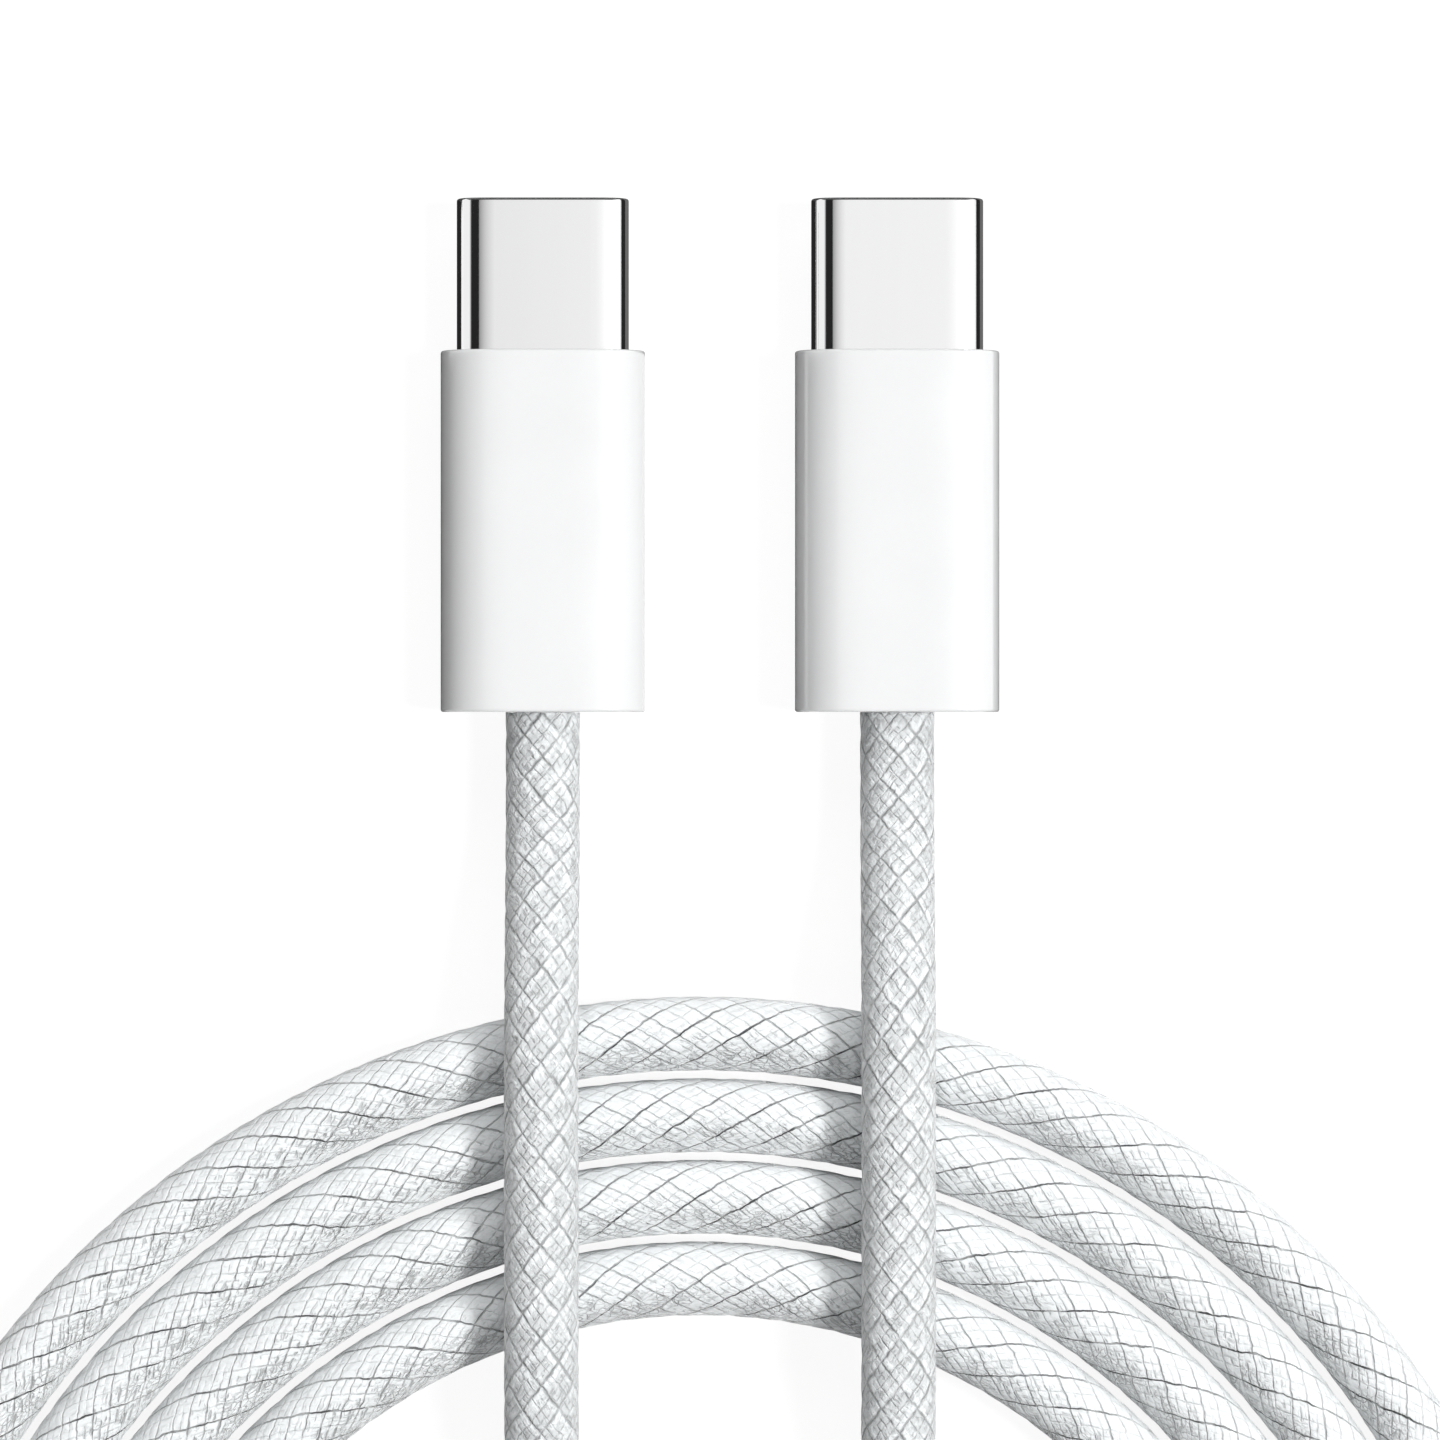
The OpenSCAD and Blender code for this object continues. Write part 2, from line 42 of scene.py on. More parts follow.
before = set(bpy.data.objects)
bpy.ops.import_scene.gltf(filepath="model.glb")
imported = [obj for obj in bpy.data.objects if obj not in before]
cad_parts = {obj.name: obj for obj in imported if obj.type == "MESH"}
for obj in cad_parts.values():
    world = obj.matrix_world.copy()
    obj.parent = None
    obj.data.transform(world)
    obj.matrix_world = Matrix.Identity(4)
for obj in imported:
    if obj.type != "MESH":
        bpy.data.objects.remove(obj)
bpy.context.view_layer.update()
MM = 0.001

# ---------------------------------------------------------------- the cord's route
# In millimetres and degrees.
CORD_RADIUS = 1.8
CROSSING_RISE = 3.7
COIL_CENTRE = (-0.3, -68.3)
COIL_RADIUS = 27.0
COIL_START = -75.0
COIL_END = 1320.0
COIL_STEP = 15.0
TURN_PITCH = 3.92
FLAT_DEPTH = 7.0
PLUG_X = 8.5
PLUG_REAR = -12.3
PLUG_AXIS_Z = 2.4
PLUG_SIDES = (("left_", -PLUG_X), ("right_", PLUG_X))
STRAIGHT_RUN = 3.6
# How many points the smooth line has, and a second, smaller count of points.
LINE_STEPS, PATH_STEPS = 3400, 1200
# The plugs' leads run side by side over the coil: how far along, and how much of a cord's rise.
LEAD_RUN = (
    (-19, 0.27), (-22, 0.54), (-25, 0.81), (-28, 0.97), (-31, 1), (-36, 1),
    (-42, 1), (-45, 0.9), (-48, 0.68), (-51, 0.38), (-54, 0.14), (-57, 0.03),
)
LEFT_TAIL = (
    (-8.7, -60.5, 0), (-9.6, -64.5, 0), (-11, -68.5, 0), (-12.2, -72.5, 0),
    (-12.6, -76.6, 0), (-11.8, -80.5, 0), (-9.7, -84, 0), (-6.5, -86.6, 0),
    (-2.6, -88.1, 0),
)
RIGHT_TAIL = (
    (8.5, -60, 0), (8.5, -66, 0), (8.5, -70, 0), (8.5, -73, 0.05),
    (8.5, -76, 0.22), (8.5, -79, 0.49), (8.5, -82, 0.76), (8.5, -85, 0.95),
    (8.5, -88, 1), (8.3, -92, 1), (7.4, -95.3, 1), (5.6, -98.4, 1),
    (3.1, -101, 0.95), (-0.1, -103, 0.76), (-3.3, -104, 0.51),
    (-7.3, -104.1, 0.24), (-11.3, -103.2, 0.05),
)

# The plugs' sizes, in millimetres.
SHELL_W, SHELL_H, SHELL_WALL, LIP_ROUND = 8.25, 2.4, 0.2, 0.12
SHELL_REAR, MOUTH_Y = 1.0, 12.3
SHELL_CROWN, SHELL_LEAN = 0.7, 0.07
HOUSING_W, HOUSING_H, HOUSING_WALL, REAR_WALL = 9.8, 4.8, 0.4, 0.6
HOUSING_FRONT, HOUSING_ROUND = 5.0, 0.12
HOUSING_CROWN, HOUSING_LEAN = 1.2, 0.05
CORD_HOLE = 1.83


def coil_point(angle):
    """A point of the coil's centreline, with its hidden far side pressed flatter."""
    turn = math.radians(angle)
    low = min(0.0, math.sin(turn))
    radius = COIL_RADIUS + TURN_PITCH * (angle - COIL_START) / 360 - FLAT_DEPTH * low * low
    return Vector((
        COIL_CENTRE[0] + radius * math.cos(turn),
        COIL_CENTRE[1] + radius * math.sin(turn),
        CORD_RADIUS,
    ))


def coil_heading(angle):
    """The way that the cord runs at a point of the coil."""
    return (coil_point(angle + 0.01) - coil_point(angle - 0.01)).normalized()


def lead_points(side, tail, last):
    """One plug's lead: straight out of the housing, over the coil, and down to join it."""
    points = [
        Vector((side * PLUG_X, PLUG_REAR, PLUG_AXIS_Z)),
        Vector((side * PLUG_X, PLUG_REAR - STRAIGHT_RUN, PLUG_AXIS_Z)),
    ]
    run = tuple((side * PLUG_X, y, rise) for y, rise in LEAD_RUN) + tail
    points += [Vector((x, y, CORD_RADIUS + rise * CROSSING_RISE)) for x, y, rise in run]
    return points + [last]


def cord_route():
    """The whole cord from the left plug through the coil to the right plug."""
    into = coil_point(COIL_START) - coil_heading(COIL_START) * STRAIGHT_RUN
    out = coil_point(COIL_END) + coil_heading(COIL_END) * STRAIGHT_RUN
    steps = int(round((COIL_END - COIL_START) / COIL_STEP))
    turns = [coil_point(COIL_START + i * COIL_STEP) for i in range(steps + 1)]
    left = lead_points(-1, LEFT_TAIL, into)
    right = lead_points(1, RIGHT_TAIL, out)
    return left + turns + right[::-1]


def smooth_line(points, steps=14, passes=30):
    """A finely stepped curve through the points, eased so that its bend never jumps."""
    p = np.array([tuple(v) for v in points])
    p = np.vstack([2 * p[0] - p[1], p, 2 * p[-1] - p[-2]])
    rows = []
    for i in range(1, len(p) - 2):
        a, b, c, d = p[i - 1], p[i], p[i + 1], p[i + 2]
        ab, bc, cd = (max(np.linalg.norm(v), 1e-6) ** 0.5 for v in (b - a, c - b, d - c))
        m1 = (c - b) + bc * ((b - a) / ab - (c - a) / (ab + bc))
        m2 = (c - b) + bc * ((d - c) / cd - (d - b) / (bc + cd))
        t = np.linspace(0, 1, steps, endpoint=False)[:, None]
        rows.append(
            (2 * t**3 - 3 * t**2 + 1) * b + (t**3 - 2 * t**2 + t) * m1
            + (-2 * t**3 + 3 * t**2) * c + (t**3 - t**2) * m2
        )
    line = np.vstack(rows + [p[-2][None]])
    line = at_distance(line, np.linspace(0, lengths(line)[-1], LINE_STEPS))
    for _ in range(passes):
        line[2:-2] = 0.5 * line[2:-2] + 0.25 * (line[1:-3] + line[3:-1])
    return line


def lengths(line):
    """How far along the line each of its points is."""
    return np.concatenate([[0], np.cumsum(np.linalg.norm(np.diff(line, axis=0), axis=1))])


def at_distance(line, where):
    """The line's points at given distances along it."""
    s = lengths(line)
    return np.stack([np.interp(where, s, line[:, k]) for k in range(3)], axis=1)


def eased(value):
    """A value from 0 to 1 with a smooth start and end."""
    return value * value * (3 - 2 * value)


def straight(vectors):
    """The same directions, each of length 1."""
    return vectors / np.maximum(np.linalg.norm(vectors, axis=1), 1e-9)[:, None]


# ---------------------------------------------------------------- settings
class CordSettings(bpy.types.PropertyGroup):
    diameter: FloatProperty(
        name="Diameter", description="Across the woven sleeve", default=0.0036,
        min=0.001, max=0.02, precision=4, subtype="DISTANCE", unit="LENGTH",
    )
    bands: IntProperty(
        name="Bands", description="Bands of yarn that wind each way round the cord",
        default=6, min=3, max=12,
    )
    lead_pitch: FloatProperty(
        name="Pitch at the plugs",
        description="Distance along the cord from band to band near the plugs",
        default=0.00214, min=0.0005, max=0.02, precision=5, subtype="DISTANCE", unit="LENGTH",
    )
    coil_pitch: FloatProperty(
        name="Pitch in the coil",
        description="Distance along the cord from band to band where it is wound",
        default=0.00274, min=0.0005, max=0.02, precision=5, subtype="DISTANCE", unit="LENGTH",
    )
    band_groove: FloatProperty(
        name="Band groove", description="Depth of the groove between two bands",
        default=0.00007, min=0, max=0.0003, precision=6, subtype="DISTANCE", unit="LENGTH",
    )
    yarn_groove: FloatProperty(
        name="Yarn groove", description="Depth of the groove in the middle of a band",
        default=0.000035, min=0, max=0.0003, precision=6, subtype="DISTANCE", unit="LENGTH",
    )
    colour: FloatVectorProperty(
        name="Yarn", description="Colour of the yarn", default=(0.90, 0.925, 0.934),
        size=3, min=0, max=1, subtype="COLOR",
    )
    # The dark colour painted into the grooves, strokes and creases as shade.
    groove_shade_colour: FloatVectorProperty(
        name="Groove", description="Colour down between the bands", default=(0.07, 0.075, 0.078),
        size=3, min=0, max=1, subtype="COLOR",
    )


class PlugSettings(bpy.types.PropertyGroup):
    housing_colour: FloatVectorProperty(
        name="Housing", description="Colour of the moulded housing", default=(0.835, 0.84, 0.845),
        size=3, min=0, max=1, subtype="COLOR",
    )
    housing_roughness: FloatProperty(
        name="Housing roughness", description="How dull the housing's gloss is",
        default=0.2, min=0, max=1, subtype="FACTOR",
    )
    steel_colour: FloatVectorProperty(
        name="Shell", description="Colour of the drawn steel shell", default=(0.87, 0.87, 0.875),
        size=3, min=0, max=1, subtype="COLOR",
    )
    steel_roughness: FloatProperty(
        name="Shell roughness", description="How dull the shell's polish is",
        default=0.07, min=0, max=1, subtype="FACTOR",
    )
    block_colour: FloatVectorProperty(
        name="Contact block", description="Colour of the moulded contact block",
        default=(0.62, 0.63, 0.64), size=3, min=0, max=1, subtype="COLOR",
    )
    gold_colour: FloatVectorProperty(
        name="Contacts", description="Colour of the plated contacts",
        default=(0.93, 0.68, 0.30), size=3, min=0, max=1, subtype="COLOR",
    )


class StageSettings(bpy.types.PropertyGroup):
    key: FloatProperty(
        name="Key light", description="Brightness of the light from the right",
        default=2.4, min=0, max=20,
    )
    fill: FloatProperty(
        name="Fill light", description="Brightness of the light from the plugs' end",
        default=0.9, min=0, max=20,
    )
    side: FloatProperty(
        name="Side light",
        description="Brightness of the low light from the plugs' end and the left",
        default=0.8, min=0, max=20,
    )
    lift: FloatProperty(
        name="Lift light", description="Brightness of the light from the coil's end",
        default=0.55, min=0, max=20,
    )
    surround: FloatProperty(
        name="Surround", description="Brightness of the light from all round",
        default=0.06, min=0, max=5,
    )
    floor_bounce: FloatVectorProperty(
        name="Floor", description="How much light the floor sends back up",
        default=(0.55, 0.55, 0.55), size=3, min=0, max=1, subtype="COLOR",
    )


# ---------------------------------------------------------------- helpers
def node(tree, kind, inputs=None, **settings):
    """Adds a node, sets its properties, and fills its inputs with values or links."""
    made = tree.nodes.new(kind)
    for key, value in settings.items():
        setattr(made, key, value)
    for key, value in (inputs or {}).items():
        if isinstance(value, bpy.types.NodeSocket):
            tree.links.new(value, made.inputs[key])
        else:
            made.inputs[key].default_value = value
    return made


def math_node(tree, operation, *values):
    return node(tree, "ShaderNodeMath", dict(enumerate(values)), operation=operation).outputs[0]


def chain(tree, operation, *values):
    """Joins any number of values by one operation."""
    total = values[0]
    for value in values[1:]:
        total = math_node(tree, operation, total, value)
    return total


def ramp(tree, value, low, high, start=0.0, end=1.0, smooth=True):
    """Turns a value between low and high into one between start and end."""
    made = node(
        tree, "ShaderNodeMapRange",
        {"Value": value, "From Min": low, "From Max": high, "To Min": start, "To Max": end},
        interpolation_type="SMOOTHSTEP" if smooth else "LINEAR",
    )
    return made.outputs["Result"]


def blend_colour(tree, factor, first, second):
    made = node(tree, "ShaderNodeMix", data_type="RGBA")
    for socket, value in ((0, factor), (6, first), (7, second)):
        if isinstance(value, bpy.types.NodeSocket):
            tree.links.new(value, made.inputs[socket])
        else:
            made.inputs[socket].default_value = value if socket == 0 else (*value, 1.0)
    return made.outputs[2]


def mixed_number(tree, factor, first, second):
    made = node(tree, "ShaderNodeMix", {0: factor, 2: first, 3: second}, data_type="FLOAT")
    return made.outputs[0]


def shade(colour, by):
    return tuple(min(1.0, max(0.0, c * by)) for c in colour)


def new_material(name):
    made = bpy.data.materials.new(name)
    made.use_nodes = True
    made.node_tree.nodes.clear()
    return made, made.node_tree


def close_material(tree, colour, roughness, normal, **sockets):
    """Ends a material in one surface shader; plain numbers go straight onto its sockets."""
    inputs = {"Base Color": colour, "Roughness": roughness, "Normal": normal, **sockets}
    surface = node(tree, "ShaderNodeBsdfPrincipled", inputs)
    node(tree, "ShaderNodeOutputMaterial", {"Surface": surface.outputs[0]})


def object_noise(tree, size, stretch=(1, 1, 1), detail=3.0):
    """Noise with features of a size in metres, stretched along the object's own directions."""
    place = node(tree, "ShaderNodeTexCoord").outputs["Object"]
    scaled = node(
        tree, "ShaderNodeMapping",
        {"Vector": place, "Scale": tuple(1 / (size * s) for s in stretch)},
    )
    made = node(
        tree, "ShaderNodeTexNoise",
        {"Vector": scaled.outputs[0], "Scale": 1.0, "Detail": detail, "Roughness": 0.55},
    )
    return made.outputs["Fac"]


def finish(name, colour, roughness, grain=0.0001, stretch=(1, 1, 1), relief=0.000002,
           mottle=0.05, dulling=0.08, **sockets):
    """A material with a fine grain in its surface and a slow change in its colour and gloss."""
    made, tree = new_material(name)
    fine = object_noise(tree, grain, stretch)
    slow = object_noise(tree, grain * 14, stretch, 2.0)
    both = math_node(tree, "MULTIPLY_ADD", slow, 0.6, math_node(tree, "MULTIPLY", fine, 0.4))
    tone = ramp(tree, both, 0.3, 0.7, smooth=False)
    paint = blend_colour(tree, tone, shade(colour, 1 - mottle), shade(colour, 1 + mottle * 0.4))
    gloss = ramp(tree, slow, 0.3, 0.7, max(0.02, roughness - dulling), roughness + dulling)
    bump = node(tree, "ShaderNodeBump", {"Strength": 1.0, "Distance": relief, "Height": fine})
    close_material(tree, paint, gloss, bump.outputs[0], **sockets)
    return made


def dress(pieces, material):
    """Puts a material on the solid of each named piece, on both plugs."""
    for side, _ in PLUG_SIDES:
        for piece in pieces:
            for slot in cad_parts[side + piece].material_slots:
                slot.material = material


def settled(piece):
    """Turns a piece's live modifiers into its plain mesh."""
    view = bpy.context.evaluated_depsgraph_get()
    mesh = bpy.data.meshes.new_from_object(
        piece.evaluated_get(view), preserve_all_data_layers=True, depsgraph=view)
    piece.modifiers.clear()
    old, piece.data = piece.data, mesh
    mesh.name = old.name + "_mesh"
    bpy.data.meshes.remove(old)
    return piece


def put_in_scene(name, mesh, *materials):
    piece = bpy.data.objects.new(name, mesh)
    bpy.context.scene.collection.objects.link(piece)
    for material in materials:
        mesh.materials.append(material)
    return piece


def set_input(modifier, name, value):
    """Sets a node modifier's input by its socket's identifier."""
    for item in modifier.node_group.interface.items_tree:
        if item.item_type == "SOCKET" and item.in_out == "INPUT" and item.name == name:
            modifier[item.identifier] = value
            return
    raise ValueError(f"the node tree has no input named {name}")


# ---------------------------------------------------------------- the woven cord
YARNS_IN_BAND = 4
# The weave is loose this far from each plug, and then tightens over the next length.
LOOSE_LENGTH, TIGHTENING_LENGTH = 40, 34
# Where across the coil its two families of bands change places, and over what width.
CHANGE_FROM, CHANGE_WIDTH = -16, 10
GROOVE_SHARPNESS = 1.7


def braid_relief_tree():
    """Rounds the bands of a sleeve and presses the grooves between and inside them."""
    tree = bpy.data.node_groups.new("braid relief", "GeometryNodeTree")
    face = tree.interface
    face.new_socket("Geometry", in_out="INPUT", socket_type="NodeSocketGeometry")
    for name in ("Band groove", "Yarn groove"):
        socket = face.new_socket(name, in_out="INPUT", socket_type="NodeSocketFloat")
        socket.subtype = "DISTANCE"
    face.new_socket("Yarn", in_out="INPUT", socket_type="NodeSocketMaterial")
    face.new_socket("Geometry", in_out="OUTPUT", socket_type="NodeSocketGeometry")
    into = node(tree, "NodeGroupInput")

    def attribute(name):
        return node(
            tree, "GeometryNodeInputNamedAttribute", {"Name": name}, data_type="FLOAT").outputs[0]

    depths = []
    for family in ("a", "b"):
        phase, tight = attribute("band_" + family), attribute("tight_" + family)
        for period, groove in ((1.0, "Band groove"), (0.5, "Yarn groove")):
            away = math_node(tree, "PINGPONG", phase, period / 2)
            near = math_node(tree, "MULTIPLY_ADD", away, -2 / period, 1.0)
            near = math_node(tree, "POWER", math_node(tree, "MAXIMUM", near, 0.0), GROOVE_SHARPNESS)
            depths.append(chain(tree, "MULTIPLY", into.outputs[groove], tight, near))
    deepest = chain(tree, "MAXIMUM", *depths)
    down = node(
        tree, "ShaderNodeVectorMath",
        {0: node(tree, "GeometryNodeInputNormal").outputs[0],
         "Scale": math_node(tree, "MULTIPLY", deepest, -1.0)},
        operation="SCALE",
    )
    moved = node(
        tree, "GeometryNodeSetPosition",
        {"Geometry": into.outputs["Geometry"], "Offset": down.outputs[0]},
    )
    real = node(tree, "GeometryNodeRealizeInstances", {"Geometry": moved.outputs[0]})
    dressed = node(
        tree, "GeometryNodeSetMaterial",
        {"Geometry": real.outputs[0], "Material": into.outputs["Yarn"]},
    )
    node(tree, "NodeGroupOutput", {"Geometry": dressed.outputs[0]})
    return tree


def braid_phase(line, lead_pitch, coil_pitch):
    """Bands passed along the cord, with the weave pulled a little longer in the coil."""
    s = lengths(line)
    ends = np.minimum(s, s[-1] - s)
    wound = np.clip((ends - LOOSE_LENGTH) / TIGHTENING_LENGTH, 0, 1)
    pitch = lead_pitch + (coil_pitch - lead_pitch) * eased(wound)
    steps = np.diff(s) * 0.5 * (1 / pitch[1:] + 1 / pitch[:-1])
    return s, np.concatenate([[0], np.cumsum(steps)]), wound


def side_faces(count, yarns):
    """The sleeve's diamonds, and where each corner lies in the two families of bands."""
    cell = 1 / YARNS_IN_BAND
    j = np.arange(count - 1)[:, None]
    k = np.arange(yarns)[None, :]
    odd = j % 2
    first = j * yarns + k
    right = (j + 1) * yarns + (k + odd) % yarns
    last = (j + 2) * yarns + k
    left = (j + 1) * yarns + (k + odd - 1) % yarns
    quads = np.stack([first, right, last, left], axis=-1).reshape(-1, 4)
    at = (k + 0.5 * odd) * cell
    along = np.broadcast_to(j * cell / 2, at.shape)
    a, b = at + along, along - at
    corners = np.stack([
        np.stack([a, b], -1), np.stack([a + cell, b], -1),
        np.stack([a + cell, b + cell], -1), np.stack([a, b + cell], -1),
    ], axis=-2).reshape(-1, 2)
    return [tuple(int(v) for v in q) for q in quads], [tuple(c) for c in corners]


def end_faces(count, yarns):
    """The triangles and the flat cap that close each end, and their corners in the bands."""
    cell = 1 / YARNS_IN_BAND
    faces, uvs = [], []
    for end, other, flip in ((0, 1, False), (count, count - 1, True)):
        odd = end % 2
        for n in range(yarns):
            tip = other * yarns + (n + odd) % yarns
            one, two = end * yarns + n, end * yarns + (n + 1) % yarns
            t, v, w = (n + 0.5 * odd) * cell, end * cell / 2, other * cell / 2
            uv = [(t + v, v - t), (t + cell + v, v - t - cell),
                  (t + cell / 2 + w, w - t - cell / 2)]
            tri = (one, two, tip)
            if flip:
                tri, uv = (two, one, tip), [uv[1], uv[0], uv[2]]
            faces.append(tri)
            uvs += uv
        cap = [end * yarns + n for n in range(yarns)]
        faces.append(tuple(cap if flip else cap[::-1]))
        uvs += [(cell / 2, cell / 2)] * yarns
    return faces, uvs


def woven_mesh(line, radius, bands, lead_pitch, coil_pitch):
    """A sleeve of small diamonds, each one crossing of two yarns, with closed ends."""
    yarns, rows_in_band = bands * YARNS_IN_BAND, 2 * YARNS_IN_BAND
    s, phase, wound = braid_phase(line, lead_pitch, coil_pitch)
    count = int(phase[-1] * rows_in_band)
    rows = np.linspace(0, phase[-1], count + 1)
    centre = at_distance(line, np.interp(rows, phase, s))
    wound = np.interp(rows, phase, wound)
    ahead = straight(np.gradient(centre, axis=0))
    side = straight(np.cross((0, 0, 1), ahead))
    up = np.cross(ahead, side)
    row = np.arange(count + 1)[:, None]
    place = np.arange(yarns)[None, :] + 0.5 * (row % 2)
    turn = place * 2 * math.pi / yarns - math.pi / 2
    ring = side[:, None] * np.cos(turn)[..., None] + up[:, None] * np.sin(turn)[..., None]
    points = (centre[:, None] + ring * radius).reshape(-1, 3) * MM
    points[:, 2] = np.maximum(points[:, 2], 0)

    faces, uvs = side_faces(count, yarns)
    closing, closing_uvs = end_faces(count, yarns)
    mesh = bpy.data.meshes.new("woven_cord")
    mesh.from_pydata(points.tolist(), [], faces + closing)
    mesh.uv_layers.new(name="braid").data.foreach_set(
        "uv", np.array(uvs + closing_uvs, dtype=np.float32).ravel())

    # In the coil one family of bands is pulled tighter than the other, and they change places; the
    # tighter family's lines also take more painted shade, so the painted shade moves from one
    # family to the other across the coil.
    change = eased(np.clip((centre[:, 0] - CHANGE_FROM) / CHANGE_WIDTH, 0, 1))
    tight_a = 0.8 + wound * (0.2 + 0.8 * change - 0.8)
    tight_b = 0.8 + wound * (1.0 - 0.6 * change - 0.8)
    # The sleeve is pinched on the inner side of a bend and stretched smooth on the outer; this
    # measure of the inner side also sets where the yarn's painted shade is laid deeper.
    inward = straight(np.gradient(ahead, axis=0))
    pinched = 0.5 + 0.5 * wound[:, None] * np.einsum("ijk,ik->ij", ring, inward)
    for name, value in (
        ("band_a", place / YARNS_IN_BAND + row / rows_in_band),
        ("band_b", row / rows_in_band - place / YARNS_IN_BAND),
        ("wound", wound[:, None]), ("tight_a", tight_a[:, None]), ("tight_b", tight_b[:, None]),
        ("pinched", pinched),
    ):
        value = np.broadcast_to(value, place.shape)
        layer = mesh.attributes.new(name, "FLOAT", "POINT")
        layer.data.foreach_set("value", value.astype(np.float32).ravel())
    mesh.polygons.foreach_set("use_smooth", [len(f) < yarns for f in faces + closing])
    mesh.update()
    return mesh


def woven_material(settings):
    """White yarn in crossing bands, with painted shade in the lines between bands, in strokes of
    yarn inside them and in creases, and a painted highlight beside the lines near the plugs.
    """
    made, tree = new_material("woven white yarn")
    parts = node(tree, "ShaderNodeSeparateXYZ", {
        0: node(tree, "ShaderNodeUVMap", uv_map="braid").outputs[0]})
    wound, tight_a, tight_b, pinched = (
        node(tree, "ShaderNodeAttribute", attribute_name=name).outputs["Fac"]
        for name in ("wound", "tight_a", "tight_b", "pinched"))

    def times(*values):
        return chain(tree, "MULTIPLY", *values)

    def most(*values):
        return chain(tree, "MAXIMUM", *values)

    def sum_of(*values):
        return chain(tree, "ADD", *values)

    def one_less(value):
        return math_node(tree, "SUBTRACT", 1.0, value)

    def mixed(factor, first, second):
        return mixed_number(tree, factor, first, second)

    stray = ramp(tree, object_noise(tree, 0.0008), 0.25, 0.75, -0.05, 0.05, smooth=False)
    a, b = (math_node(tree, "ADD", part, stray) for part in parts.outputs[:2])
    # Noise that varies at random how strongly the painted shade and the painted highlight show, and
    # bends the net of creases.
    light_and_shade_noise = object_noise(tree, 0.0011)
    patch = object_noise(tree, 0.0007, detail=2.0)
    blotch = object_noise(tree, 0.0022, detail=2.0)

    def line(phase, period, core, edge):
        """A line at every period, full out to its core and gone at its edge."""
        away = math_node(tree, "PINGPONG", phase, period / 2)
        return ramp(tree, away, core, edge, 1.0, 0.0)

    def grain(first, second, *scales):
        """Noise laid along the two yarn directions."""
        return node(
            tree, "ShaderNodeTexNoise",
            {"Vector": node(tree, "ShaderNodeCombineXYZ", {
                0: times(first, scales[0]), 1: times(second, scales[1])}).outputs[0],
             "Scale": 1.0, "Detail": 2.0, "Roughness": 0.6},
        ).outputs["Fac"]

    # Lines between bands, pressed into the bump and painted as shade down in the grooves: broad and
    # soft at the plugs, thin and drawn tight in the coil.
    core, edge = 0.016, mixed(wound, 0.085, 0.037)
    # How strongly each line is pressed and painted with shade varies at random along it, and the
    # painted shade is stronger on the inner side of a bend.
    loose_press = ramp(tree, light_and_shade_noise, 0.38, 0.62, 0.22, 0.62)
    tight_press = ramp(tree, light_and_shade_noise, 0.36, 0.60, 0.48, 1.0)
    press_and_shade = times(
        mixed(wound, loose_press, tight_press), ramp(tree, pinched, 0.0, 0.5, 0.55, 1.0))
    main = times(press_and_shade, most(*(
        times(line(phase, 1.0, core, edge), tight)
        for phase, tight in ((a, tight_a), (b, tight_b)))))

    # Strokes of single yarns and lines down each band's middle, painted as shade in the gaps
    # between yarns, mostly of the slacker family and on the inner side of a bend, where the shade
    # is painted deeper.
    stroke_shade_mask = most(ramp(tree, pinched, 0.20, 0.75, 0.26, 1.0), one_less(wound))
    strokes, halves = [], []
    for phase, other, tight in ((a, b, tight_a), (b, a, tight_b)):
        slack = most(math_node(tree, "SUBTRACT", 1.2, tight), 0.5)
        strokes.append(times(
            most(line(phase, 0.25, 0.0, 0.05),
                 ramp(tree, grain(phase, other, 9.0, 1.6), 0.54, 0.64)),
            ramp(tree, grain(phase, other, 3.4, 2.6), 0.44, 0.56), slack))
        halves.append(times(line(phase, 0.5, 0.0, 0.03), slack))
    strokes, half = most(*strokes), most(*halves)

    # A net of creases where the cloth is pinched, long along the cord: painted as shade in the
    # colour and dented into the bump.
    creases_and_shade = node(
        tree, "ShaderNodeTexVoronoi",
        {"Vector": node(tree, "ShaderNodeCombineXYZ", {
            0: sum_of(times(math_node(tree, "ADD", a, b), 3.1), times(patch, 1.8)),
            1: sum_of(times(math_node(tree, "SUBTRACT", a, b), 4.4), times(light_and_shade_noise, 1.8))}).outputs[0],
         "Scale": 1.0, "Randomness": 1.0},
        feature="DISTANCE_TO_EDGE", voronoi_dimensions="2D",
    ).outputs["Distance"]
    creases_and_shade = times(
        ramp(tree, creases_and_shade, 0.0, 0.10, 1.0, 0.0), ramp(tree, pinched, 0.45, 0.85),
        ramp(tree, blotch, 0.40, 0.55))

    # Near the plugs the yarns beside each line stand up a little in the bump and are painted
    # lighter, as a highlight.
    beside_a, beside_b = (
        ramp(tree, math_node(tree, "FRACT", phase), 0.20, 0.34, 1.0, 0.0) for phase in (a, b))
    ridge_and_highlight = times(
        most(times(beside_a, ramp(tree, patch, 0.36, 0.54)),
             times(beside_b, ramp(tree, light_and_shade_noise, 0.36, 0.54)), times(beside_a, beside_b)),
        one_less(wound))

    # Which of the two families lies on top in this crossing, as in a two over two weave.
    cells = [math_node(tree, "FLOOR", times(phase, YARNS_IN_BAND)) for phase in (a, b)]
    over = math_node(tree, "LESS_THAN", math_node(tree, "FLOORED_MODULO", sum_of(*cells), 4.0), 1.5)
    yarn, other = mixed(over, a, b), mixed(over, b, a)
    across = math_node(tree, "PINGPONG", times(yarn, YARNS_IN_BAND), 1.0)
    round_yarn = math_node(tree, "SINE", times(across, math.pi))
    thread = grain(yarn, other, 30.0, 6.0)

